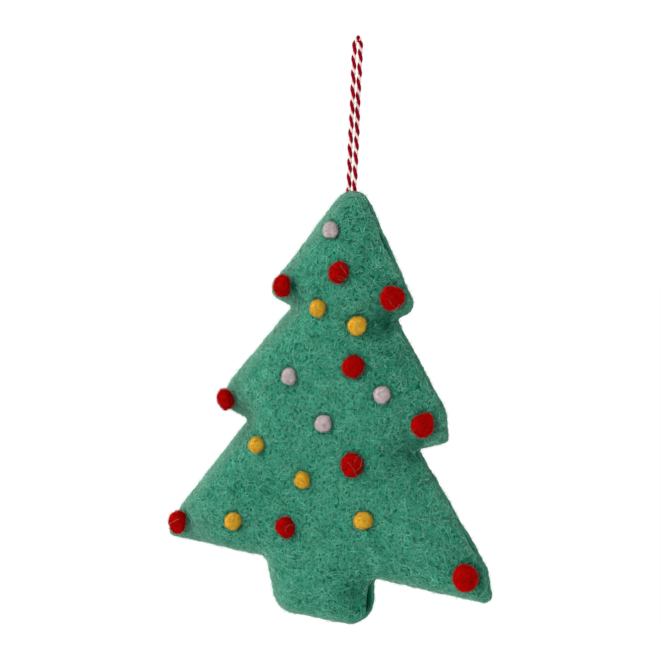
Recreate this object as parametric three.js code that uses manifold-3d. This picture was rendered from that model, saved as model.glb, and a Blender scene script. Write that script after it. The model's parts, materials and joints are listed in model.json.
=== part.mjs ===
// Hanging felt Christmas tree: two hand-cut felt panels closed over wool stuffing, needled wool balls
// on the front, and a twine loop whose knot is buried under the crown.
// Millimetres, +Z up, front towards -Y. The origin is the point of the loop that bears on a hook.
import * as THREE from "three";
import { mergeVertices } from "three/addons/utils/BufferGeometryUtils.js";
import Module from "manifold-3d";

// Corners of the cut outline, from the crown down. Each is a left and right pair: half width, drop below
// the crown's sharp point, lean of the pair's middle to the right, rise of the right corner over the
// middle, and corner radius. Steps divide the corner's arc and runs the straight cut after it.
// A shoulder is a slight bend in the long cut over a tip, set by its height over that tip and its inset.
const MIDDLE_SHOULDER_HEIGHT = 7.9;
const MIDDLE_SHOULDER_INSET = 2.6;
const LOW_SHOULDER_HEIGHT = 9.5;
const LOW_SHOULDER_INSET = 3.2;
const TRUNK_HEIGHT = 15.4;
const CROWN = { half: 0, drop: 0, lean: 1.3, rise: 0, round: 5.4, steps: 2, runs: 2 };
const TOP_TIP = { half: 23.5, drop: 36.2, lean: -0.8, rise: 0.1, round: 3.2, steps: 3, runs: 1 };
const TOP_NOTCH = { half: 16.1, drop: 39.7, lean: 0.8, rise: -0.1, round: 0.8, steps: 2, runs: 2 };
const MIDDLE_TIP = { half: 36.9, drop: 72.2, lean: -1.1, rise: -0.5, round: 1.3, steps: 2, runs: 1 };
const MIDDLE_SHOULDER = {
  half: MIDDLE_TIP.half - MIDDLE_SHOULDER_INSET,
  drop: MIDDLE_TIP.drop - MIDDLE_SHOULDER_HEIGHT,
  lean: 0.2, rise: -0.2, round: 5, steps: 1, runs: 3,
};
const MIDDLE_NOTCH = { half: 26.9, drop: 75.6, lean: -0.3, rise: -0.4, round: 1.2, steps: 2, runs: 3 };
const LOW_TIP = { half: 53, drop: 116, lean: 0.4, rise: -0.5, round: 1.4, steps: 2, runs: 4 };
const LOW_SHOULDER = {
  half: LOW_TIP.half - LOW_SHOULDER_INSET,
  drop: LOW_TIP.drop - LOW_SHOULDER_HEIGHT,
  lean: 1, rise: -0.5, round: 6, steps: 1, runs: 3,
};
const TRUNK_TOP = { half: 17.1, drop: 116, lean: -0.9, rise: 0.1, round: 3, steps: 2, runs: 1 };
const TRUNK_FOOT = {
  half: 15.2, drop: TRUNK_TOP.drop + TRUNK_HEIGHT, lean: 2.3, rise: 0.4, round: 7, steps: 3, runs: 1,
};
const OUTLINE = [
  CROWN, TOP_TIP, TOP_NOTCH, MIDDLE_SHOULDER, MIDDLE_TIP, MIDDLE_NOTCH, LOW_SHOULDER, LOW_TIP,
  TRUNK_TOP, TRUNK_FOOT,
];
const SHARPEST_ROUND = 0.4;

// Felt and filling.
const FELT_THICKNESS = 2.2;
const PUFF = 6.6; // seam plane to the flat of either face
const EDGE_ROLL = 17; // distance from the cut edge over which the face rolls up to its flat
const ROLL_POWER = 1.9;
const LIP_HALF = 1.7; // seam plane to the outer lip of either panel
const GROOVE_DEPTH = 1.5; // the V between the two lips
const FIT_GAP = 0.3; // clearance between pieces that touch
const FILL_GAP = 0.6; // clearance between the stuffing and the felt round it
const THREAD_DIAMETER = 0.5;
const THREAD_INSET = 1; // thread centre below the cut edge

// Wool balls: the tier that carries each, its place down that tier and across its half width, its size.
const TIERS = {
  top: [CROWN, TOP_TIP],
  middle: [TOP_NOTCH, MIDDLE_TIP],
  low: [MIDDLE_NOTCH, LOW_TIP],
};
const BALL_LAYOUT = {
  red: [
    { tier: "top", down: 0.76, across: 0.09, diameter: 6 },
    { tier: "top", down: 0.93, across: -0.72, diameter: 6.4 },
    { tier: "top", down: 0.92, across: 0.83, diameter: 7.4 },
    { tier: "middle", down: 0.44, across: 0.34, diameter: 6.7 },
    { tier: "middle", down: 0.92, across: -0.91, diameter: 6.4 },
    { tier: "middle", down: 0.86, across: 0.91, diameter: 7.1 },
    { tier: "low", down: 0.16, across: 0.35, diameter: 7 },
    { tier: "low", down: 0.85, across: -0.95, diameter: 7 },
    { tier: "low", down: 0.71, across: -0.21, diameter: 6 },
    { tier: "low", down: 0.83, across: 0.96, diameter: 8 },
  ],
  yellow: [
    { tier: "middle", down: -0.04, across: -0.34, diameter: 5.1 },
    { tier: "middle", down: 0.07, across: 0.41, diameter: 6.1 },
    { tier: "low", down: 0.15, across: -0.68, diameter: 4.8 },
    { tier: "low", down: 0.34, across: -0.14, diameter: 4.9 },
    { tier: "low", down: 0.74, across: -0.59, diameter: 5.8 },
    { tier: "low", down: 0.55, across: 0.37, diameter: 5.8 },
  ],
  pale: [
    { tier: "top", down: 0.44, across: -0.3, diameter: 4.9 },
    { tier: "middle", down: 0.61, across: -0.4, diameter: 4.9 },
    { tier: "middle", down: 0.65, across: 0.61, diameter: 5.1 },
    { tier: "middle", down: 0.98, across: 0.04, diameter: 5.4 },
  ],
};
const BALL_LIFT = 0.15; // ball centre above the felt, in ball diameters
const ROOT_DIAMETER = 2.2; // tuft of each ball that is needled into the panel
const ROOT_DEPTH = 1.3;

// Twine loop. The legs leave the crown side by side and open into a small eye, a quarter turn round.
const CORD_DIAMETER = 1.4;
const LEG_GAP = 0.35;
const TREE_DROP = 38.5; // hang point to the crown's sharp point
const TREE_SHIFT = 1.6; // the tree hangs this far to the right of the hang point
const EYE_RADIUS = 2.8; // cord centre line in the bend
const EYE_TURN = THREE.MathUtils.degToRad(96);
const NOD_GAP = 0.7; // legs' feet to the tails, which lets the tree nod
const EXIT_DEPTH = 6; // how far down the round exit is cut through the panels
const KNOT_DROP = 14; // crown top to the middle of the knot
const KNOT_HALF = { across: 2.5, deep: 2.2, tall: 2.8 };
// Right leg above its foot: offset to the right and to the back of the cord's middle, and drop.
const LEG_ROUTE = [
  [0.84, 0.3, 32],
  [0.7, 0.55, 25],
  [0.51, 0.82, 18],
  [0.37, 1.15, 12.2],
  [0.17, 1.75, 6.9],
];

// Facets.
const COLUMNS = 10;
const ROW_FAN = 0.15; // rows rise towards the middle, so that they fan out of the branch tips
const BALL_SIDES = 12;
const BALL_RINGS = 5;
const SOCKET_SIDES = 5;
const EXIT_SIDES = 12;
const CORD_SIDES = 8;
const THREAD_SIDES = 5;
const LEG_STEPS = 14;
const EYE_STEPS = 10;

const wool = (color) => new THREE.MeshStandardMaterial({ color, roughness: 0.95, metalness: 0 });
const MATERIALS = {
  felt: wool(0x4b967c),
  stuffing: wool(0xe6e1d4),
  thread: wool(0x2f6a57),
  twine: wool(0xc9656b),
  red: wool(0xb81f24),
  yellow: wool(0xd9a13b),
  pale: wool(0xd3c1c9),
};

const wasm = await Module();
wasm.setup();

/** A closed geometry as a solid that can be joined and cut. */
function solidOf(geometry) {
  const bare = geometry.clone();
  bare.deleteAttribute("normal");
  bare.deleteAttribute("uv");
  const merged = mergeVertices(bare, 1e-4);
  return new wasm.Manifold(
    new wasm.Mesh({
      numProp: 3,
      vertProperties: new Float32Array(merged.attributes.position.array),
      triVerts: new Uint32Array(merged.index.array),
    }),
  );
}

/** A solid's surface as a geometry. */
function geometryOf(solid) {
  const mesh = solid.getMesh();
  const geometry = new THREE.BufferGeometry();
  geometry.setAttribute("position", new THREE.BufferAttribute(mesh.vertProperties, 3));
  geometry.setIndex(new THREE.BufferAttribute(mesh.triVerts, 1));
  return geometry;
}

/** A geometry with every cutter taken out of it. */
function cut(geometry, cutters) {
  return geometryOf(cutters.reduce((left, tool) => left.subtract(solidOf(tool)), solidOf(geometry)));
}

function namedMesh(name, geometry, material) {
  const mesh = new THREE.Mesh(geometry, material);
  mesh.name = name;
  return mesh;
}

/** Unit normal of the cut from one corner to the next, to its right: inwards on a clockwise loop. */
function cutNormal(from, to) {
  const along = to.clone().sub(from).normalize();
  return new THREE.Vector2(along.y, -along.x);
}

/** The outline's corners, moved inwards: right and left lists of { point, round } from the crown down. */
function cornerSides(inset) {
  const right = OUTLINE.map((c) => ({ ...c, at: new THREE.Vector2(c.lean + c.half, c.rise - c.drop) }));
  const left = OUTLINE.map((c) => ({ ...c, at: new THREE.Vector2(c.lean - c.half, -c.rise - c.drop) }));
  const loop = [...right, ...left.slice(1).reverse()];
  const moved = loop.map((corner, i) => {
    const before = loop.at(i - 1).at;
    const after = loop[(i + 1) % loop.length].at;
    const arriving = cutNormal(before, corner.at);
    const leaving = cutNormal(corner.at, after);
    const inwards = arriving.clone().add(leaving).multiplyScalar(inset / (1 + arriving.dot(leaving)));
    const hollow = arriving.cross(leaving) > 0;
    const round = hollow ? corner.round + inset : Math.max(corner.round - inset, SHARPEST_ROUND);
    return { ...corner, at: corner.at.clone().add(inwards), round };
  });
  const levels = OUTLINE.length;
  return { right: moved.slice(0, levels), left: [moved[0], ...moved.slice(levels).reverse()] };
}

/** Points along a corner's arc at the given shares, from the cut before it to the cut after it. */
function arcPoints(before, corner, after, shares) {
  const back = before.clone().sub(corner.at).normalize();
  const ahead = after.clone().sub(corner.at).normalize();
  const halfAngle = Math.acos(THREE.MathUtils.clamp(back.dot(ahead), -1, 1)) / 2;
  const middle = back.clone().add(ahead).normalize();
  const centre = middle.multiplyScalar(corner.round / Math.sin(halfAngle)).add(corner.at);
  const reach = corner.round / Math.tan(halfAngle);
  const first = back.multiplyScalar(reach).add(corner.at).sub(centre);
  const last = ahead.multiplyScalar(reach).add(corner.at).sub(centre);
  const turn = Math.atan2(first.cross(last), first.dot(last));
  return shares.map((share) => {
    return first.clone().rotateAround(new THREE.Vector2(), turn * share).add(centre);
  });
}

const evenShares = (steps) => Array.from({ length: steps + 1 }, (_, k) => k / steps);

/** One side of the outline as points from the crown to the foot, with the same count on either side. */
function sidePoints(own, other) {
  const points = [];
  own.forEach((corner, i) => {
    const before = i === 0 ? other[1].at : own[i - 1].at;
    const after = i === own.length - 1 ? other[i].at : own[i + 1].at;
    // The crown's arc is shared, so a side takes its own half of it and leaves a small flat at the top.
    const shares = i === 0 ? evenShares(corner.steps).map((s) => 0.6 + 0.4 * s) : evenShares(corner.steps);
    const arc = arcPoints(before, corner, after, shares);
    if (i > 0) {
      const from = points.at(-1);
      const runs = own[i - 1].runs;
      for (let k = 1; k < runs; k += 1) points.push(from.clone().lerp(arc[0], k / runs));
    }
    points.push(...arc);
  });
  return points;
}

/** The rounded outline, moved inwards, as matching right and left point lists. */
function outlineSides(inset) {
  const { right, left } = cornerSides(inset);
  return { right: sidePoints(right, left), left: sidePoints(left, right) };
}

/** Distance from a point of the seam plane to the outline. */
function edgeDistance(sides, point) {
  const loop = [...sides.right, ...sides.left.toReversed()];
  const nearest = new THREE.Vector3();
  const probe = new THREE.Vector3(point.x, point.y, 0);
  const edges = loop.map((p, i) => {
    const q = loop[(i + 1) % loop.length];
    const edge = new THREE.Line3(new THREE.Vector3(p.x, p.y, 0), new THREE.Vector3(q.x, q.y, 0));
    return edge.closestPointToPoint(probe, true, nearest).distanceTo(probe);
  });
  return Math.min(...edges);
}

/** How far the face has rolled up, from 0 at its edge to 1 on its flat. */
function rolled(distance, reach) {
  const share = Math.min(distance / reach, 1);
  return (1 - (1 - share) ** ROLL_POWER) ** (1 / ROLL_POWER);
}

/** Rows of points over the outline, in the seam plane's x and z with y as the height above it. */
function domeGrid(inset, edgeHeight, flatHeight) {
  const sides = outlineSides(inset);
  const lastRow = sides.right.length - 1;
  return sides.right.map((rightEnd, row) => {
    const leftEnd = sides.left[row];
    const half = (rightEnd.x - leftEnd.x) / 2;
    const fan = ROW_FAN * Math.max(0, half - TRUNK_FOOT.half);
    return Array.from({ length: COLUMNS + 1 }, (_, column) => {
      const across = -Math.cos((Math.PI * column) / COLUMNS);
      const point = leftEnd.clone().lerp(rightEnd, (across + 1) / 2);
      point.y += fan * (1 - Math.abs(across));
      const onEdge = row === 0 || row === lastRow || column === 0 || column === COLUMNS;
      const share = onEdge ? 0 : rolled(edgeDistance(sides, point), EDGE_ROLL - inset);
      return new THREE.Vector3(point.x, edgeHeight + (flatHeight - edgeHeight) * share, point.y);
    });
  });
}

/** The grid's outer points in order round its edge. */
function gridRim(grid) {
  const last = grid.length - 1;
  const rightSide = grid.slice(1).map((row) => row[COLUMNS]);
  const bottom = grid[last].slice(0, COLUMNS).reverse();
  const leftSide = grid.slice(1, last).map((row) => row[0]).reverse();
  return [...grid[0], ...rightSide, ...bottom, ...leftSide];
}

/** Triangles of a grid, facing +y. */
function gridFaces(grid) {
  const faces = [];
  for (let i = 0; i < grid.length - 1; i += 1) {
    for (let j = 0; j < COLUMNS; j += 1) {
      faces.push([grid[i][j], grid[i][j + 1], grid[i + 1][j]]);
      faces.push([grid[i][j + 1], grid[i + 1][j + 1], grid[i + 1][j]]);
    }
  }
  return faces;
}

/** Triangles of the strip from one rim to the next, closing a grid that faces +y. */
function stripFaces(outer, inner) {
  return outer.flatMap((point, k) => {
    const next = (k + 1) % outer.length;
    return [
      [outer[next], point, inner[k]],
      [outer[next], inner[k], inner[next]],
    ];
  });
}

const turnedOver = (faces) => faces.map(([a, b, c]) => [a, c, b]);
const mirrored = (faces) => {
  return turnedOver(faces.map((face) => face.map((p) => new THREE.Vector3(p.x, -p.y, p.z))));
};

function geometryOfFaces(faces) {
  return new THREE.BufferGeometry().setFromPoints(faces.flat());
}

/** Faces of the back panel: its domed outside, its V-cut lip, its flat seam and its hollow inside. */
function panelFaces() {
  const seam = FIT_GAP / 2;
  const outside = domeGrid(0, LIP_HALF, PUFF);
  const groove = domeGrid(GROOVE_DEPTH, seam, seam);
  const inside = domeGrid(FELT_THICKNESS, seam, PUFF - FELT_THICKNESS);
  return [
    ...gridFaces(outside),
    ...stripFaces(gridRim(outside), gridRim(groove)),
    ...stripFaces(gridRim(groove), gridRim(inside)),
    ...turnedOver(gridFaces(inside)),
  ];
}

/** The filling: a pillow that lies just inside both panels. */
function stuffingGeometry() {
  const side = gridFaces(domeGrid(FELT_THICKNESS + FILL_GAP, 0, PUFF - FELT_THICKNESS - FILL_GAP));
  return geometryOfFaces([...side, ...mirrored(side)]);
}

/** The thread that lies in the seam's V, from one end of the crown's arc round to the other. */
function threadGeometry() {
  const sides = outlineSides(THREAD_INSET);
  const path = [...sides.right.slice(CROWN.steps), ...sides.left.slice(CROWN.steps).reverse()];
  const rings = path.map((point, k) => {
    const before = path[Math.max(k - 1, 0)];
    const after = path[Math.min(k + 1, path.length - 1)];
    const outwards = cutNormal(before, after).negate();
    return Array.from({ length: THREAD_SIDES }, (_, side) => {
      const angle = (2 * Math.PI * side) / THREAD_SIDES;
      const reach = (THREAD_DIAMETER / 2) * Math.cos(angle);
      const rise = (THREAD_DIAMETER / 2) * Math.sin(angle);
      return new THREE.Vector3(point.x + outwards.x * reach, rise, point.y + outwards.y * reach);
    });
  });
  const fanOf = (ring) => ring.slice(2).map((point, k) => [ring[0], ring[k + 1], point]);
  const walls = rings.slice(1).flatMap((ring, k) => stripFaces(rings[k], ring));
  return geometryOfFaces([...fanOf(rings[0]), ...walls, ...turnedOver(fanOf(rings.at(-1)))]);
}

/** A ball's place in the seam plane, on the tier that carries it. */
function ballPlace({ tier, down, across }) {
  const [upper, lower] = TIERS[tier];
  const level = (key) => THREE.MathUtils.lerp(upper[key], lower[key], down);
  return new THREE.Vector2(level("lean") + across * level("half"), -level("drop"));
}

/** The felt under a place: the point of the front face and its outward normal. */
function feltUnder(place, frontFace) {
  const start = new THREE.Vector3(place.x, -2 * PUFF, place.y);
  const [hit] = new THREE.Raycaster(start, new THREE.Vector3(0, 1, 0)).intersectObject(frontFace);
  return { point: hit.point, normal: hit.face.normal };
}

/** Puts an object that was made along +Y on the felt, with +Y out of it. */
function standOn(object, seat) {
  object.position.copy(seat.point);
  object.quaternion.setFromUnitVectors(new THREE.Vector3(0, 1, 0), seat.normal);
  object.updateMatrix();
  return object;
}

/** A wool ball with a flat foot just above the felt and a root needled into it. */
function ballGeometry(diameter) {
  const radius = diameter / 2;
  const centre = BALL_LIFT * diameter;
  const foot = Math.asin((FIT_GAP - centre) / radius);
  const profile = [
    new THREE.Vector2(0, -ROOT_DEPTH),
    new THREE.Vector2(ROOT_DIAMETER / 2, -ROOT_DEPTH),
    new THREE.Vector2(ROOT_DIAMETER / 2, FIT_GAP),
  ];
  for (let k = 0; k < BALL_RINGS; k += 1) {
    const angle = THREE.MathUtils.lerp(foot, Math.PI / 2, k / BALL_RINGS);
    profile.push(new THREE.Vector2(radius * Math.cos(angle), centre + radius * Math.sin(angle)));
  }
  profile.push(new THREE.Vector2(0, centre + radius));
  return new THREE.LatheGeometry(profile, BALL_SIDES);
}

/** The hole that a ball's root goes into. */
function socketGeometry(seat) {
  const radius = (ROOT_DIAMETER / 2 + FIT_GAP) / Math.cos(Math.PI / SOCKET_SIDES);
  const depth = ROOT_DEPTH + FIT_GAP;
  const hole = new THREE.CylinderGeometry(radius, radius, 2 * depth, SOCKET_SIDES);
  return hole.applyMatrix4(standOn(new THREE.Object3D(), seat).matrix);
}

/** The room that a ball takes from felt that stands up beside its seat. */
function dishGeometry(seat, diameter) {
  const radius = diameter / 2 + FIT_GAP;
  const dish = new THREE.CylinderGeometry(radius, radius, PUFF, BALL_SIDES);
  dish.translate(0, (PUFF + FIT_GAP) / 2, 0);
  return dish.applyMatrix4(standOn(new THREE.Object3D(), seat).matrix);
}

/** An upright round bar at a place in the tree, between two heights. */
function uprightBar(x, low, high, radius, sides) {
  const bar = new THREE.CylinderGeometry(radius, radius, high - low, sides);
  return bar.rotateX(Math.PI / 2).translate(x, 0, (low + high) / 2);
}

/** The knot's barrel, swollen by a clearance for the pocket that it lies in. */
function knotGeometry(crownTop, clearance) {
  const barrel = new THREE.SphereGeometry(1, 10, 8);
  barrel.scale(KNOT_HALF.across + clearance, KNOT_HALF.deep + clearance, KNOT_HALF.tall + clearance);
  return barrel.translate(0, 0, crownTop - KNOT_DROP);
}

/** Round cord along a curve. */
function cordGeometry(points, steps) {
  const section = new THREE.Shape();
  section.absarc(0, 0, CORD_DIAMETER / 2, 0, 2 * Math.PI);
  return new THREE.ExtrudeGeometry(section, {
    steps,
    curveSegments: CORD_SIDES / 2,
    bevelEnabled: false,
    extrudePath: new THREE.CatmullRomCurve3(points),
  });
}

/** The loop's top bend and its two legs. The right leg's route is turned half round for the left. */
function addLoop(root, crownTop) {
  const halfSpacing = (CORD_DIAMETER + LEG_GAP) / 2;
  const footDrop = TREE_DROP - crownTop - NOD_GAP;
  const eyeDrop = EYE_RADIUS - CORD_DIAMETER / 2;
  const eyeAt = (angle, side) => {
    const out = side * EYE_RADIUS * Math.cos(angle);
    const drop = eyeDrop - EYE_RADIUS * Math.sin(angle);
    return new THREE.Vector3(out * Math.cos(EYE_TURN), out * Math.sin(EYE_TURN), -drop);
  };
  const legPoints = (side) => {
    const offsets = [[halfSpacing, 0, footDrop], ...LEG_ROUTE];
    const climb = offsets.map(([across, behind, drop]) => {
      const middle = (TREE_SHIFT * (drop - eyeDrop)) / (footDrop - eyeDrop);
      return new THREE.Vector3(middle + side * across, side * behind, -drop);
    });
    const top = eyeAt(0, side);
    top.z -= FIT_GAP;
    return [...climb, top];
  };
  root.add(namedMesh("loop_leg_left", cordGeometry(legPoints(-1), LEG_STEPS), MATERIALS.twine));
  root.add(namedMesh("loop_leg_right", cordGeometry(legPoints(1), LEG_STEPS), MATERIALS.twine));
  const bend = evenShares(EYE_STEPS).map((share) => eyeAt(Math.PI * share, 1));
  root.add(namedMesh("loop_bend", cordGeometry(bend, EYE_STEPS), MATERIALS.twine));
}

/** The stuffed tree with its balls, its seam thread and the loop's knot. */
function addTree(root) {
  const tree = new THREE.Group();
  tree.position.set(TREE_SHIFT, 0, -TREE_DROP);
  root.add(tree);

  const back = panelFaces();
  const frontGeometry = geometryOfFaces(mirrored(back));
  const frontFace = new THREE.Mesh(frontGeometry);
  const outline = outlineSides(0);
  const crownTop = Math.max(outline.right[0].y, outline.left[0].y);

  const halfSpacing = (CORD_DIAMETER + LEG_GAP) / 2;
  const exitRadius = (halfSpacing + CORD_DIAMETER / 2 + FIT_GAP) / Math.cos(Math.PI / EXIT_SIDES);
  const exit = (depth) => uprightBar(0, crownTop - depth, crownTop + EXIT_DEPTH, exitRadius, EXIT_SIDES);

  const sockets = [];
  for (const [colour, layout] of Object.entries(BALL_LAYOUT)) {
    layout.forEach((ball, k) => {
      const seat = feltUnder(ballPlace(ball), frontFace);
      const name = `${colour}_ball_${k + 1}`;
      tree.add(standOn(namedMesh(name, ballGeometry(ball.diameter), MATERIALS[colour]), seat));
      sockets.push(socketGeometry(seat), dishGeometry(seat, ball.diameter));
    });
  }

  const front = cut(frontGeometry, [exit(EXIT_DEPTH), ...sockets]);
  const filling = cut(stuffingGeometry(), [exit(KNOT_DROP), knotGeometry(crownTop, FIT_GAP)]);
  tree.add(namedMesh("front_panel", front, MATERIALS.felt));
  tree.add(namedMesh("back_panel", cut(geometryOfFaces(back), [exit(EXIT_DEPTH)]), MATERIALS.felt));
  tree.add(namedMesh("stuffing", filling, MATERIALS.stuffing));
  tree.add(namedMesh("seam_thread", threadGeometry(), MATERIALS.thread));

  const tails = [-1, 1].map((side) => {
    const bar = uprightBar(
      side * halfSpacing, crownTop - KNOT_DROP, crownTop, CORD_DIAMETER / 2, CORD_SIDES,
    );
    return solidOf(bar);
  });
  const knot = tails.reduce((joined, tail) => joined.add(tail), solidOf(knotGeometry(crownTop, 0)));
  tree.add(namedMesh("loop_knot", geometryOf(knot), MATERIALS.twine));
  return crownTop;
}

const ornament = new THREE.Group();
addLoop(ornament, addTree(ornament));

export default ornament;
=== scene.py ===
"""Looks of a hanging felt tree: green felt over wool filling, needled balls and a twine loop.

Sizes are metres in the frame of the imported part: a hook bears on the twine loop at the origin,
+Z is up and the decorated front faces -Y.
"""

from __future__ import annotations

import json
import logging
import math
from dataclasses import dataclass, field
from enum import Enum
from typing import Any, Iterable

import bpy
import numpy as np
from bpy.types import ColorRamp, Material, Mesh, Node, NodeSocket, Object, World
from mathutils import Matrix, Vector, noise
from mathutils.bvhtree import BVHTree
from mathutils.geometry import delaunay_2d_cdt
from mathutils.kdtree import KDTree

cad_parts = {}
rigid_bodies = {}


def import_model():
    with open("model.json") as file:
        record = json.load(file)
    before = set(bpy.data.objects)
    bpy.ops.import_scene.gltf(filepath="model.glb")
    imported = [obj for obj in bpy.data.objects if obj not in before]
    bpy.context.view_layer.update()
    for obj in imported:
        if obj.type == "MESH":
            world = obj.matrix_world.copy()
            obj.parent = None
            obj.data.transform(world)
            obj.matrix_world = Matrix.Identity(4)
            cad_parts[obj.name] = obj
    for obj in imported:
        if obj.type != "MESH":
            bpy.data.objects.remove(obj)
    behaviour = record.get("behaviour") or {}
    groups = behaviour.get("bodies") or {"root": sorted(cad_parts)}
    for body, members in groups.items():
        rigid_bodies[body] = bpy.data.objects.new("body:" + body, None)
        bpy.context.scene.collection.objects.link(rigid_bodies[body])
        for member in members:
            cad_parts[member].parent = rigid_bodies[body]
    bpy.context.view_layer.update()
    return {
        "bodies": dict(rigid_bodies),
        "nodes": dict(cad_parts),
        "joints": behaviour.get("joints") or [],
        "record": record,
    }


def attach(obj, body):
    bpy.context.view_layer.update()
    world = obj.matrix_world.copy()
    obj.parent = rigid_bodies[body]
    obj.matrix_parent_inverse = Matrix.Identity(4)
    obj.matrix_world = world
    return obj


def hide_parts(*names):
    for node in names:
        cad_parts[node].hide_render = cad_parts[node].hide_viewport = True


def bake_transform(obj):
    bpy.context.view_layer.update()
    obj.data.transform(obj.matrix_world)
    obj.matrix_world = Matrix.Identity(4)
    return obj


log = logging.getLogger("felt_tree")

MM = 0.001
# The name of the fibres' shade map: fibres of one shade share one spot of it.
SHADE_MAP = "OFBake"
# Numbers that are stored on meshes: a fibre's shade; the pale edge haze by nearness to the cut
# edge, worn nap with painted sheen on the lit left edges; and painted shade in the needled dents,
# the seam's groove and the hollows beside the notches.
SHADE = "shade"
EDGE_HAZE_AND_SHEEN = "edge"
PAINTED_SHADE = "dent"
WHITE = (1.0, 1.0, 1.0, 1.0)
SMOOTH = {"interpolation_type": "SMOOTHSTEP"}
SEEN_RAYS = ("Camera", "Glossy", "Transmission")

Array = np.ndarray
Colour = tuple[float, float, float]
Layers = tuple[tuple[float, float, float], ...]


class Side(Enum):
    """The two felt panels, by the sign of the way that each one faces along Y."""

    FRONT = -1
    BACK = 1


class Ply(Enum):
    """The two yarns of the twine, by their start angle round its middle line in half turns."""

    RED = 0
    WHITE = 1


class Wool(Enum):
    """The colours of the needled balls, by the names of the part's nodes."""

    RED = "red"
    YELLOW = "yellow"
    PALE = "pale"


# Shader building


class Value:
    """A number socket that can stand in Python arithmetic."""

    def __init__(self, sheet: NodeSheet, socket: NodeSocket) -> None:
        """Keeps the socket and the sheet that new nodes go on."""
        self.sheet = sheet
        self.socket = socket

    def __add__(self, other: Value | float) -> Value:
        """The sum with a value or number."""
        return self.sheet.maths("ADD", self, other)

    def __radd__(self, other: float) -> Value:
        """The sum with a number on the left."""
        return self.sheet.maths("ADD", other, self)

    def __sub__(self, other: Value | float) -> Value:
        """The difference with a value or number."""
        return self.sheet.maths("SUBTRACT", self, other)

    def __rsub__(self, other: float) -> Value:
        """The difference with a number on the left."""
        return self.sheet.maths("SUBTRACT", other, self)

    def __mul__(self, other: Value | float) -> Value:
        """The product with a value or number."""
        return self.sheet.maths("MULTIPLY", self, other)

    def __rmul__(self, other: float) -> Value:
        """The product with a number on the left."""
        return self.sheet.maths("MULTIPLY", other, self)

    def __abs__(self) -> Value:
        """The size without its sign."""
        return self.sheet.maths("ABSOLUTE", self)

    def __or__(self, other: Value | float) -> Value:
        """The larger of two values."""
        return self.sheet.maths("MAXIMUM", self, other)

    def __ror__(self, other: float) -> Value:
        """The larger of a number on the left and this value."""
        return self.sheet.maths("MAXIMUM", other, self)

    def ramp(self, low: float, high: float) -> Value:
        """0 below low and 1 above high, smooth in between."""
        links = {"Value": self, "From Min": low, "From Max": high}
        return self.sheet.value("ShaderNodeMapRange", "Result", SMOOTH, links)


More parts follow.
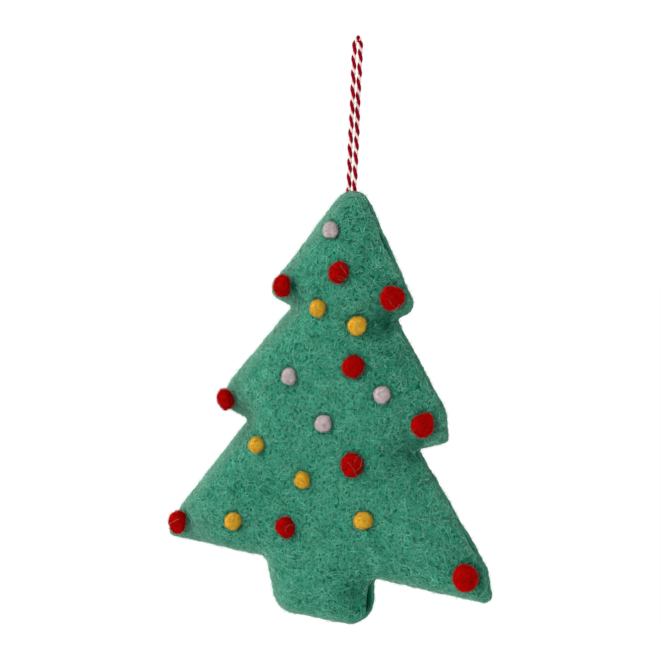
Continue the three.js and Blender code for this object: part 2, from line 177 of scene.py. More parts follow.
class NodeSheet:
    """A material or a sky, and its nodes."""

    def __init__(self, owner: Material | World) -> None:
        """Starts with no nodes.

        Args:
            owner: the new material or sky.
        """
        owner.use_nodes = True
        self.owner = owner
        self.tree = owner.node_tree
        self.tree.nodes.clear()

    @classmethod
    def of_material(cls, name: str) -> NodeSheet:
        """The sheet of a new material."""
        return cls(bpy.data.materials.new(name))

    def node(
        self,
        kind: str,
        settings: dict[str, Any] | None = None,
        links: dict[str | int, Any] | None = None,
    ) -> Node:
        """Adds a node.

        Args:
            kind: the node's type.
            settings: its own properties, which are set first; "stops" fills a colour ramp.
            links: values or links of its sockets, by number, identifier or name.

        Returns:
            The new node.
        """
        made = self.tree.nodes.new(kind)
        for key, setting in (settings or {}).items():
            if key == "stops":
                self._fill_ramp(made.color_ramp, setting)
            else:
                setattr(made, key, setting)
        for key, given in (links or {}).items():
            socket = self._input(made, key)
            if isinstance(given, Value):
                given = given.socket
            if isinstance(given, NodeSocket):
                self.tree.links.new(given, socket)
            else:
                socket.default_value = given
        return made

    def value(
        self,
        kind: str,
        output: str,
        settings: dict[str, Any] | None = None,
        links: dict[str | int, Any] | None = None,
    ) -> Value:
        """Adds a node as node() does, and returns one of its outputs as a value."""
        return Value(self, self.node(kind, settings, links).outputs[output])

    def maths(self, operation: str, first: Value | float, second: Value | float = 0.0) -> Value:
        """The result of a Math node with its upper and lower value."""
        links = {0: first, 1: second}
        return self.value("ShaderNodeMath", "Value", {"operation": operation}, links)

    def mix(self, share: Value, first: Any, second: Any) -> NodeSocket:
        """Mixes two colours.

        Args:
            share: how much of the second shows.
            first: a colour or colour socket.
            second: a colour or colour socket.

        Returns:
            The mixed colour's socket.
        """
        links = {
            "Factor_Float": share,
            "A_Color": self._colour(first),
            "B_Color": self._colour(second),
        }
        made = self.node("ShaderNodeMix", {"data_type": "RGBA"}, links)
        return next(s for s in made.outputs if s.identifier == "Result_Color")

    def grain(self, place: NodeSocket, size: float, **links: float) -> Value:
        """Noise, about a half on average, whose lumps have about the given size."""
        links = {"Vector": place, "Scale": 1.0 / size, **links}
        return self.value("ShaderNodeTexNoise", "Fac", None, links)

    def bump(self, height: Value, depth: float, strength: float) -> NodeSocket:
        """The normal that a relief of the given depth turns."""
        links = {"Strength": strength, "Distance": depth, "Height": height}
        return self.node("ShaderNodeBump", None, links).outputs["Normal"]

    def place(self, shift: float = 0.0) -> NodeSocket:
        """The place on the object.

        Args:
            shift: how far it is moved, so that two layers of noise differ.

        Returns:
            The place's socket.
        """
        coords = self.node("ShaderNodeTexCoord").outputs["Object"]
        links = {0: coords, 1: (shift, 2.0 * shift, 3.0 * shift)}
        moved = self.node("ShaderNodeVectorMath", {"operation": "ADD"}, links)
        return moved.outputs["Vector"]

    def attribute(self, name: str) -> Value:
        """A number that is stored on the mesh."""
        return self.value("ShaderNodeAttribute", "Fac", {"attribute_name": name})

    def seen(self) -> Value:
        """Where the camera looks, also by way of gloss or glass.

        Returns:
            1 there and 0 for other light.
        """
        path = self.node("ShaderNodeLightPath").outputs
        camera, gloss, glass = (Value(self, path[f"Is {k} Ray"]) for k in SEEN_RAYS)
        return camera | gloss | glass

    def mix_shaders(self, share: Value, first: Node, second: Node) -> NodeSocket:
        """Two shaders in one, by the share of the second."""
        links = {0: share, 1: first.outputs[0], 2: second.outputs[0]}
        return self.node("ShaderNodeMixShader", None, links).outputs["Shader"]

    def finish(self, links: dict[str, Any]) -> Material:
        """Adds the surface shader and its output.

        Args:
            links: values or links of the shader's sockets.

        Returns:
            The finished material.
        """
        shader = self.node("ShaderNodeBsdfPrincipled", None, links)
        self.node("ShaderNodeOutputMaterial", None, {"Surface": shader.outputs["BSDF"]})
        return self.owner

    @staticmethod
    def _colour(given: Any) -> Any:
        """A plain colour with its alpha, or a socket as it is."""
        return (*given, 1.0) if isinstance(given, tuple) else given

    @staticmethod
    def _input(made: Node, key: str | int) -> NodeSocket:
        """A node's input by number, identifier or name.

        Args:
            made: the node.
            key: which input.

        Returns:
            The input's socket.
        """
        if isinstance(key, int):
            return made.inputs[key]
        found = [s for s in made.inputs if s.identifier == key]
        return found[0] if found else made.inputs[key]

    @staticmethod
    def _fill_ramp(ramp: ColorRamp, stops: Iterable[tuple[float, Colour]]) -> None:
        """Sets a colour ramp's stops.

        Args:
            ramp: the ramp.
            stops: places from 0 to 1 with their colours.
        """
        for k, (at, colour) in enumerate(stops):
            stop = ramp.elements[k] if k < 2 else ramp.elements.new(at)
            stop.position = at
            stop.color = (*colour, 1.0)


# Finishes


@dataclass(frozen=True)
class FeltFinish:
    """Wet-felted wool: a tangle of pale curly fibres over deeper green, mottled by hand."""

    name: str = "green_felt"
    base: Colour = (0.0175, 0.235, 0.140)
    deep: Colour = (0.002, 0.076, 0.040)
    pale: Colour = (0.092, 0.420, 0.285)
    # The pale edge haze: worn nap, and painted sheen where the light grazes the left edges.
    haze: Colour = (0.135, 0.300, 0.215)
    fibre_sizes: tuple[float, ...] = (1.9 * MM, 1.4 * MM, 1.0 * MM)
    fibre_width: float = 0.03
    pit_size: float = 0.9 * MM
    mottle_size: float = 7.0 * MM
    mottle_share: float = 0.22
    pit_share: float = 0.95
    tangle_share: float = 0.7
    haze_and_sheen_share: float = 0.8
    painted_shade_share: float = 0.95
    # How much the edge haze, worn nap and painted sheen, hides the pits.
    pits_hidden: float = 0.6
    relief: float = 0.15 * MM

    def material(self) -> Material:
        """Builds the felt.

        Returns:
            The material.
        """
        sheet = NodeSheet.of_material(self.name)
        tangle: Value | float = 0.0
        for k, size in enumerate(self.fibre_sizes):
            waves = sheet.grain(sheet.place(0.013 * k), size, Detail=1.5, Distortion=0.9)
            line = 1.0 - abs(waves - 0.5).ramp(0.0, self.fibre_width)
            where = sheet.place(0.31 + 0.07 * k)
            patch = sheet.grain(where, 3.0 * size, Detail=1.0).ramp(0.38, 0.62)
            tangle = tangle | (line * patch)
        pits = 1.0 - sheet.grain(sheet.place(0.77), self.pit_size, Detail=2.0).ramp(0.39, 0.53)
        mottle = sheet.grain(sheet.place(0.53), self.mottle_size, Detail=3.0).ramp(0.3, 0.7)
        ground = sheet.mix(self.mottle_share * mottle, self.base, self.pale)
        # Painted sheen: the stored edge haze mixes in the pale haze colour, wider and stronger on
        # the lit left edges.
        edge = sheet.attribute(EDGE_HAZE_AND_SHEEN)
        deepened = self.pit_share * pits * (1.0 - self.pits_hidden * edge)
        worn = sheet.mix(deepened, ground, self.deep)
        fibrous = sheet.mix(self.tangle_share * tangle, worn, self.pale)
        hazed_and_sheened = sheet.mix(self.haze_and_sheen_share * edge, fibrous, self.haze)
        # Painted shade: the deep colour darkens the needled dents round the balls, the seam's
        # groove and the hollows beside the notches.
        colour = sheet.mix(self.painted_shade_share * sheet.attribute(PAINTED_SHADE), hazed_and_sheened, self.deep)
        return sheet.finish(
            {
                "Base Color": colour,
                "Roughness": 0.95,
                "Specular IOR Level": 0.05,
                "Sheen Weight": 0.25,
                "Sheen Roughness": 0.25,
                "Sheen Tint": (0.95, 1.0, 1.0, 1.0),
                "Normal": sheet.bump(tangle - 0.8 * pits, self.relief, 0.5),
            }
        )


@dataclass(frozen=True)
class WoolFinish:
    """Needled wool: short matted fibres that catch the light over a deeper ground."""

    name: str
    base: Colour
    deep: Colour
    pale: Colour
    fibre_size: float = 0.9 * MM
    fibre_width: float = 0.05
    pit_size: float = 0.6 * MM
    mottle_size: float = 2.6 * MM
    mottle_share: float = 0.4
    pit_share: float = 0.7
    fibre_share: float = 0.45
    relief: float = 0.12 * MM

    def material(self) -> Material:
        """Builds the wool.

        Returns:
            The material.
        """
        sheet = NodeSheet.of_material(self.name)
        waves = sheet.grain(sheet.place(), self.fibre_size, Detail=1.5, Distortion=1.2)
        line = 1.0 - abs(waves - 0.5).ramp(0.0, self.fibre_width)
        pits = 1.0 - sheet.grain(sheet.place(0.41), self.pit_size, Detail=2.0).ramp(0.34, 0.5)
        mottle = sheet.grain(sheet.place(0.17), self.mottle_size, Detail=2.0).ramp(0.35, 0.65)
        ground = sheet.mix(self.mottle_share * mottle, self.base, self.pale)
        worn = sheet.mix(self.pit_share * pits, ground, self.deep)
        colour = sheet.mix(self.fibre_share * line, worn, self.pale)
        return sheet.finish(
            {
                "Base Color": colour,
                "Roughness": 0.95,
                "Specular IOR Level": 0.0,
                "Sheen Weight": 0.12,
                "Sheen Roughness": 0.5,
                "Sheen Tint": (*self.pale, 1.0),
                "Normal": sheet.bump(line - 0.8 * pits, self.relief, 0.5),
            }
        )


@dataclass(frozen=True)
class FibreFinish:
    """Loose fibres, each in one shade of a ramp from deep to pale."""

    name: str
    stops: tuple[tuple[float, Colour], ...]

    def material(self) -> Material:
        """Builds the fibres' finish.

        Returns:
            The material.
        """
        sheet = NodeSheet.of_material(self.name)
        shade = sheet.attribute(SHADE)
        ramp = sheet.node("ShaderNodeValToRGB", {"stops": self.stops}, {"Fac": shade})
        return sheet.finish(
            {
                "Base Color": ramp.outputs["Color"],
                "Roughness": 0.9,
                "Specular IOR Level": 0.05,
            }
        )


@dataclass(frozen=True)
class YarnFinish:
    """Spun cotton: fine hairs along the yarn with a little shade between them."""

    name: str
    base: Colour
    deep: Colour
    hair_size: float = 0.25 * MM
    shade_share: float = 0.8
    relief: float = 0.06 * MM

    def material(self) -> Material:
        """Builds the yarn.

        Returns:
            The material.
        """
        sheet = NodeSheet.of_material(self.name)
        hairs = sheet.grain(sheet.place(0.23), self.hair_size, Detail=3.0, Distortion=0.4)
        shaded = self.shade_share * (1.0 - hairs.ramp(0.3, 0.55))
        return sheet.finish(
            {
                "Base Color": sheet.mix(shaded, self.base, self.deep),
                "Roughness": 0.9,
                "Specular IOR Level": 0.0,
                "Normal": sheet.bump(hairs, self.relief, 0.4),
            }
        )


RED_WOOL = WoolFinish(
    "red_wool", (0.445, 0.0008, 0.0008), (0.270, 0.0004, 0.0004), (0.545, 0.004, 0.003)
)
YELLOW_WOOL = WoolFinish(
    "mustard_wool", (0.850, 0.470, 0.026), (0.560, 0.245, 0.008), (0.900, 0.610, 0.090)
)
PALE_WOOL = WoolFinish(
    "pale_wool", (0.695, 0.595, 0.605), (0.470, 0.360, 0.385), (0.830, 0.680, 0.705)
)
FILLING_WOOL = WoolFinish(
    "filling_wool", (0.780, 0.740, 0.640), (0.560, 0.510, 0.420), (0.860, 0.830, 0.760)
)
FELT = FeltFinish()
FELT_FIBRES = FibreFinish(
    "felt_fibres",
    (
        (0.0, FELT.deep),
        (0.32, FELT.base),
        (0.8, (0.310, 0.900, 0.660)),
        # The last two stops: greyer pale shades for fibres in the edge haze, partly painted sheen.
        (0.86, (0.150, 0.340, 0.245)),
        (1.0, (0.370, 0.740, 0.580)),
    ),
)
FELT_HAZE = FibreFinish("felt_haze", ((0.0, FELT.base), (1.0, (0.410, 0.750, 0.600))))
YARN = {
    Ply.RED: YarnFinish("red_cotton", (0.330, 0.002, 0.012), (0.170, 0.001, 0.006)),
    Ply.WHITE: YarnFinish("white_cotton", (0.950, 0.780, 0.760), (0.770, 0.560, 0.540)),
}
# The thread's colours are darkened to the shade of the groove that it lies in: painted shade.
SHADED_SEWING_YARN = YarnFinish("green_thread", (0.003, 0.070, 0.036), (0.001, 0.035, 0.017))


# Mesh building


def mesh_object(name: str, points: Array, faces: Iterable[Iterable[int]]) -> Object:
    """Makes a smooth shaded mesh object and puts it in the scene.

    Args:
        name: the object's name.
        points: its corners, one row each.
        faces: corner numbers of each face.

    Returns:
        The object.
    """
    mesh = bpy.data.meshes.new(name)
    rows = faces.tolist() if isinstance(faces, Array) else list(faces)
    mesh.from_pydata(points.tolist(), [], rows)
    mesh.shade_smooth()
    made = bpy.data.objects.new(name, mesh)
    bpy.context.scene.collection.objects.link(made)
    return made


def store(mesh: Mesh, name: str, values: Array) -> None:
    """Stores one number for each corner of a mesh, under the name that its finish reads."""
    layer = mesh.attributes.new(name, "FLOAT", "POINT")
    layer.data.foreach_set("value", values.astype(np.float32))


def lifted(places: Array, heights: Array | float) -> Array:
    """Places in X and Z as points at the given Y."""
    return np.stack([places[:, 0], np.broadcast_to(heights, len(places)), places[:, 1]], axis=1)


def unit(vectors: Array) -> Array:
    """The vectors at length 1."""
    return vectors / np.maximum(np.linalg.norm(vectors, axis=-1, keepdims=True), 1e-12)


def smoothstep(values: Array, low: float, high: float) -> Array:
    """0 below low and 1 above high, smooth in between."""
    share = np.clip((values - low) / (high - low), 0.0, 1.0)
    return share * share * (3.0 - 2.0 * share)


def lumps(points: Array, size: float, seed: float) -> Array:
    """Smooth noise at points, about -1 to 1, with lumps of a size; a seed makes another noise."""
    moved = points / size + seed
    return np.array([noise.noise(Vector(p)) for p in moved])


def layered(points: Array, layers: Layers, turn: float = 1.0) -> Array:
    """Layers of noise, each with its height, the size of its lumps in millimetres and its seed."""
    return sum(high * lumps(points, size * MM, seed * turn) for high, size, seed in layers)


def ring_faces(first: Array, second: Array) -> Array:
    """Quads between two closed rings of as many corners, given by their corner numbers."""
    return np.stack([first, np.roll(first, -1), np.roll(second, -1), second], axis=1)


def spaced(line: Array, step: float, closed: bool = False) -> Array:
    """Points at even distances along a line.

    Args:
        line: the line's points; a closed one ends where it starts.
        step: about the distance between the new points.
        closed: whether the end is left out, as it is the start again.

    Returns:
        The new points.
    """
    along = np.concatenate([[0.0], np.cumsum(np.linalg.norm(np.diff(line, axis=0), axis=1))])
    count = round(along[-1] / step) + (0 if closed else 1)
    at = np.linspace(0.0, along[-1], count, endpoint=not closed)
    return np.stack([np.interp(at, along, row) for row in line.T], axis=1)


def smooth_route(points: Array, step: float) -> Array:
    """A smooth curve through points.

    Args:
        points: the points that it passes.
        step: the distance between the curve's own points.

    Returns:
        The curve's points, evenly spaced.
    """
    padded = np.vstack([2 * points[0] - points[1], points, 2 * points[-1] - points[-2]])
    parts = []
    share = np.linspace(0.0, 1.0, 24, endpoint=False)[:, None]
    for a, b, c, d in zip(padded, padded[1:], padded[2:], padded[3:]):
        spans = [np.sqrt(np.linalg.norm(q - p)) for p, q in ((a, b), (b, c), (c, d))]
        knots = np.cumsum([0.0, *spans])
        t = knots[1] + share * (knots[2] - knots[1])
        ab = a + (b - a) * (t - knots[0]) / (knots[1] - knots[0])
        bc = b + (c - b) * (t - knots[1]) / (knots[2] - knots[1])
        cd = c + (d - c) * (t - knots[2]) / (knots[3] - knots[2])
        abc = ab + (bc - ab) * (t - knots[0]) / (knots[2] - knots[0])
        bcd = bc + (cd - bc) * (t - knots[1]) / (knots[3] - knots[1])
        parts.append(abc + (bcd - abc) * (t - knots[1]) / (knots[2] - knots[1]))
    return spaced(np.vstack([*parts, points[-1:]]), step)


def carried_frames(route: Array) -> tuple[Array, Array]:
    """Two directions square to a route at each of its points, carried along without twist.

    Args:
        route: the route's points.

    Returns:
        The two directions at each point.
    """
    along = unit(np.gradient(route, axis=0))
    side = np.cross(along[0], (0.3, 1.0, 0.2))
    sides = []
    for tangent in along:
        side = unit(side - tangent * np.dot(side, tangent))
        sides.append(side)
    first = np.array(sides)
    return first, np.cross(along, first)


def dress(piece: Object, material: Material, body: str) -> None:
    """Gives a piece its finish and the body that it rides on.

    Args:
        piece: the piece.
        material: its finish.
        body: the part's body.
    """
    if not piece.data.materials:
        piece.data.materials.append(material)
    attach(piece, body)
    log.info("%s: %d faces on %s", piece.name, len(piece.data.polygons), body)


# The cut outline


@dataclass(frozen=True)
class CutCorner:
    """A left and right pair of corners of the outline, measured from the crown's sharp point."""

    half: float
    drop: float
    lean: float
    rise: float
    rounding: float

    @classmethod
    def in_mm(cls, *sizes: float) -> CutCorner:
        """A corner from its sizes in millimetres."""
        return cls(*(size * MM for size in sizes))

    def right(self) -> tuple[float, float]:
        """The right-hand corner."""
        return self.lean + self.half, self.rise - self.drop

    def left(self) -> tuple[float, float]:
        """The left-hand corner."""
        return self.lean - self.half, -self.rise - self.drop


@dataclass(frozen=True)
class TreeOutline:
    """The hand-cut outline of both felt panels, in the part's X and Z."""

    corners: tuple[CutCorner, ...] = (
        CutCorner.in_mm(0.0, 0.0, 1.3, 0.0, 5.4),
        CutCorner.in_mm(23.5, 36.2, -0.8, 0.1, 3.2),
        CutCorner.in_mm(16.1, 39.7, 0.8, -0.1, 0.8),
        CutCorner.in_mm(34.3, 64.3, 0.2, -0.2, 5.0),
        CutCorner.in_mm(36.9, 72.2, -1.1, -0.5, 1.3),
        CutCorner.in_mm(26.9, 75.6, -0.3, -0.4, 1.2),
        CutCorner.in_mm(49.8, 106.5, 1.0, -0.5, 6.0),
        CutCorner.in_mm(53.0, 116.0, 0.4, -0.5, 1.4),
        CutCorner.in_mm(17.1, 116.0, -0.9, 0.1, 3.0),
        CutCorner.in_mm(15.2, 131.4, 2.3, 0.4, 7.0),
    )
    notch_corners: tuple[int, ...] = (2, 5)
    shift: float = 1.6 * MM
    drop: float = 38.5 * MM

    def loop(self, step: float) -> Array:
        """The rounded outline as points, clockwise from the crown as seen from the front.

        Args:
            step: the distance between points.

        Returns:
            The points' X and Z.
        """
        right = [(*c.right(), c.rounding) for c in self.corners]
        left = [(*c.left(), c.rounding) for c in self.corners[1:]]
        sharp = np.array([*right, *reversed(left)])
        parts = []
        for before, corner, after in zip(np.roll(sharp, 1, 0), sharp, np.roll(sharp, -1, 0)):
            parts.append(self._arc(before[:2], corner, after[:2]))
        found = spaced(np.vstack([*parts, parts[0][:1]]), step, closed=True)
        return found + (self.shift, -self.drop)

    def crown_top(self) -> float:
        """The height of the rounded crown."""
        return float(self.loop(0.1 * MM)[:, 1].max())

    def notches(self) -> Array:
        """The X and Z of the four notches between the tiers.

        Returns:
            One row for each notch, the right-hand ones first.
        """
        inner = [self.corners[k] for k in self.notch_corners]
        sharp = np.array([*(c.right() for c in inner), *(c.left() for c in inner)])
        return sharp + (self.shift, -self.drop)

    @staticmethod
    def _arc(before: Array, corner: Array, after: Array) -> Array:
        """A corner's arc.

        Args:
            before: the corner before it.
            corner: its own place and radius.
            after: the corner after it.

        Returns:
            Points along the arc.
        """
        at, radius = corner[:2], corner[2]
        back, ahead = unit(before - at), unit(after - at)
        half = math.acos(np.clip(back @ ahead, -1.0, 1.0)) / 2
        centre = at + unit(back + ahead) * radius / math.sin(half)
        first = at + back * radius / math.tan(half) - centre
        last = at + ahead * radius / math.tan(half) - centre
        turn = math.atan2(first[0] * last[1] - first[1] * last[0], first @ last)
        angles = np.linspace(0.0, turn, 16)[:, None]
        square = np.array([-first[1], first[0]])
        return centre + first * np.cos(angles) + square * np.sin(angles)


def inwards(loop: Array) -> Array:
    """Unit normals of a clockwise loop, pointing into it."""
    along = unit(np.roll(loop, -1, 0) - np.roll(loop, 1, 0))
    return np.stack([along[:, 1], -along[:, 0]], axis=1)


def moved_in(loop: Array, inset: float) -> Array:
    """A clockwise loop moved inwards, less in sharp corners, so that it never crosses itself.

    Args:
        loop: the loop's points.
        inset: how far it moves where there is room.

    Returns:
        As many points.
    """
    into = inwards(loop)
    gap = loop[None] - loop[:, None]
    ahead = (gap * into[:, None]).sum(-1)
    touching = (gap**2).sum(-1) / np.maximum(2.0 * ahead, 1e-9)
    room = np.where(ahead > 1e-9, touching, np.inf).min(1)
    return loop + into * np.minimum(inset, 0.8 * room)[:, None]


def edge_distance(points: Array, loop: Array) -> Array:
    """How far points are from a loop, negative outside it.

    Args:
        points: the points' X and Z.
        loop: the loop's points.

    Returns:
        One distance for each point.
    """
    best = np.full(len(points), np.inf)
    inside = np.zeros(len(points), bool)
    for a, b in zip(loop, np.roll(loop, -1, 0)):
        edge = b - a
        share = np.clip((points - a) @ edge / (edge @ edge), 0.0, 1.0)
        best = np.minimum(best, np.linalg.norm(points - a - share[:, None] * edge, axis=1))
        if a[1] != b[1]:
            crosses = (a[1] > points[:, 1]) != (b[1] > points[:, 1])
            at = a[0] + (points[:, 1] - a[1]) * edge[0] / edge[1]
            inside ^= crosses & (points[:, 0] < at)
    return np.where(inside, best, -best)


def depth_inside(places: Array, loop: Array) -> Array:
    """How far places lie inside a loop whose own points come first among them.

    Args:
        places: the places' X and Z.
        loop: the loop's points.

    Returns:
        One distance for each place, 0 on the loop.
    """
    depth = np.maximum(edge_distance(places, loop), 0.0)
    depth[: len(loop)] = 0.0
    return depth


def place_finder(places: Array) -> KDTree:
    """Makes places in X and Z ready to be searched.

    Args:
        places: the places.

    Returns:
        A finder of their numbers, by points at Y 0.
    """
    finder = KDTree(len(places))
    for k, point in enumerate(lifted(places, 0.0)):
        finder.insert(point, k)
    finder.balance()
    return finder


def nearest(places: Array, loop: Array) -> Array:
    """The number of the loop's point that is nearest to each place."""
    finder = place_finder(loop)
    return np.array([finder.find(point)[1] for point in lifted(places, 0.0)])


def covered(rings: list[Array], spacing: float, clear: float) -> tuple[Array, Array]:
    """Covers the inside of a loop with triangles.

    Args:
        rings: the loop, then any rings of points just inside it.
        spacing: the spacing of the points in the middle.
        clear: how far those stay from the loop.

    Returns:
        The points' X and Z, the loop's own first, and the triangles.
    """
    loop = rings[0]
    low, high = loop.min(0), loop.max(0)
    columns = np.arange(low[0], high[0], spacing)
    rows = np.arange(low[1], high[1], spacing * math.sqrt(0.75))
    grid = np.array([(x + spacing / 2 * (k % 2), z) for k, z in enumerate(rows) for x in columns])
    middle = grid[edge_distance(grid, loop) > clear]
    points = np.vstack([*rings, middle])
    found = delaunay_2d_cdt([Vector(p) for p in points], [], [list(range(len(loop)))], 1, 1e-7)
    origin = np.array([ids[0] for ids in found[3]])
    return points, origin[np.array(found[2])]


def two_faces(places: Array, triangles: Array, height: Array, rim: int) -> tuple[Array, Array]:
    """A closed pillow of two mirrored faces on one rim.

    Args:
        places: the points' X and Z, the rim's own first.
        triangles: the triangles of one face.
        height: how far each point stands off the seam plane.
        rim: how many points lie on the rim.

    Returns:
        The pillow's points, the front's first, and its triangles.
    """
    front = lifted(places, -height)
    back = front[rim:] * (1.0, -1.0, 1.0)
    other = np.where(triangles < rim, triangles, triangles + len(back))
    return np.vstack([front, back]), np.vstack([triangles, other[:, ::-1]])


@dataclass
class Skin:
    """A surface of triangles that fibres grow on."""

    points: Array
    faces: Array

    def finder(self) -> BVHTree:
        """The surface, ready to be searched."""
        return BVHTree.FromPolygons(self.points.tolist(), self.faces.tolist())

    def part(self, chosen: Array) -> Skin:
        """The chosen triangles alone."""
        return Skin(self.points, self.faces[chosen])

    def middles(self) -> Array:
        """The middle of each triangle."""
        return self.points[self.faces].mean(1)

    def with_others(self, others: list[Skin]) -> Skin:
        """This surface and others as one.

        Args:
            others: the other surfaces.

        Returns:
            The joined surface.
        """
        skins = [self, *others]
        starts = np.cumsum([0, *(len(skin.points) for skin in skins)])
        faces = [skin.faces + start for skin, start in zip(skins, starts)]
        return Skin(np.vstack([skin.points for skin in skins]), np.vstack(faces))

    def scatter(self, count: int, rng: np.random.Generator) -> tuple[Array, Array]:
        """Spreads places evenly over the surface.

        Args:
            count: how many places.
            rng: the random draws.

        Returns:
            The places and the normals there.
        """
        a, b, c = (self.points[self.faces[:, k]] for k in range(3))
        cross = np.cross(b - a, c - a)
        area = np.linalg.norm(cross, axis=1)
        chosen = rng.choice(len(area), count, p=area / area.sum())
        u, v = rng.random((2, count, 1))
        u, v = np.where(u + v > 1, 1 - u, u), np.where(u + v > 1, 1 - v, v)
        places = a[chosen] + u * (b[chosen] - a[chosen]) + v * (c[chosen] - a[chosen])
        return places, unit(cross[chosen])


# The stuffed felt tree

# The padding swells as cloth, enlarged so that it settles well.
CLOTH_SCALE = 40.0
CLOTH_FRAMES = 20
CLOTH_SETTINGS = {
    "quality": 6,
    "mass": 0.3,
    "vertex_group_mass": "seam",
    "use_pressure": True,
    "uniform_pressure_force": 4.0,
    "tension_stiffness": 12.0,
    "compression_stiffness": 12.0,
    "bending_stiffness": 1.5,
}


@dataclass(frozen=True)
class BallSeat:
    """Where a ball sits: its centre, its radius and the way out of the felt."""

    centre: Array
    radius: float
    axis: Array

    @staticmethod
    def of_node(node: Object) -> BallSeat:
        """Reads a ball's seat from the part's own solid, whose root is not on its sphere.

        Args:
            node: the ball's solid.

        Returns:
            The seat.
        """
        points = np.unique(np.round([v.co for v in node.data.vertices], 7), axis=0)
        on_ball = np.ones(len(points), bool)
        for _ in range(8):
            kept = points[on_ball]
            system = np.column_stack([2.0 * kept, np.ones(len(kept))])
            solved = np.linalg.lstsq(system, (kept**2).sum(1), rcond=None)[0]
            centre = solved[:3]
            radius = math.sqrt(solved[3] + centre @ centre)
            off = np.abs(np.linalg.norm(points - centre, axis=1) - radius)
            on_ball = off < max(0.1 * MM, np.sort(off)[len(off) * 6 // 10])
        root = points[~on_ball].mean(0)
        return BallSeat(centre, radius, unit(centre - root))


@dataclass(frozen=True)
class Spot:
    """A soft spot on the tree: its middle, its reach and its strength there."""

    x: float
    z: float
    reach: float
    share: float

    def at(self, places: Array) -> Array:
        """The spot's strength at places."""
        far = np.linalg.norm(places - (self.x, self.z), axis=1)
        return self.share * np.exp(-((far / self.reach) ** 2))


def spots(*rows: tuple[float, float, float, float]) -> tuple[Spot, ...]:
    """Spots from rows of X, Z and reach in millimetres, and strength."""
    return tuple(Spot(x * MM, z * MM, reach * MM, share) for x, z, reach, share in rows)


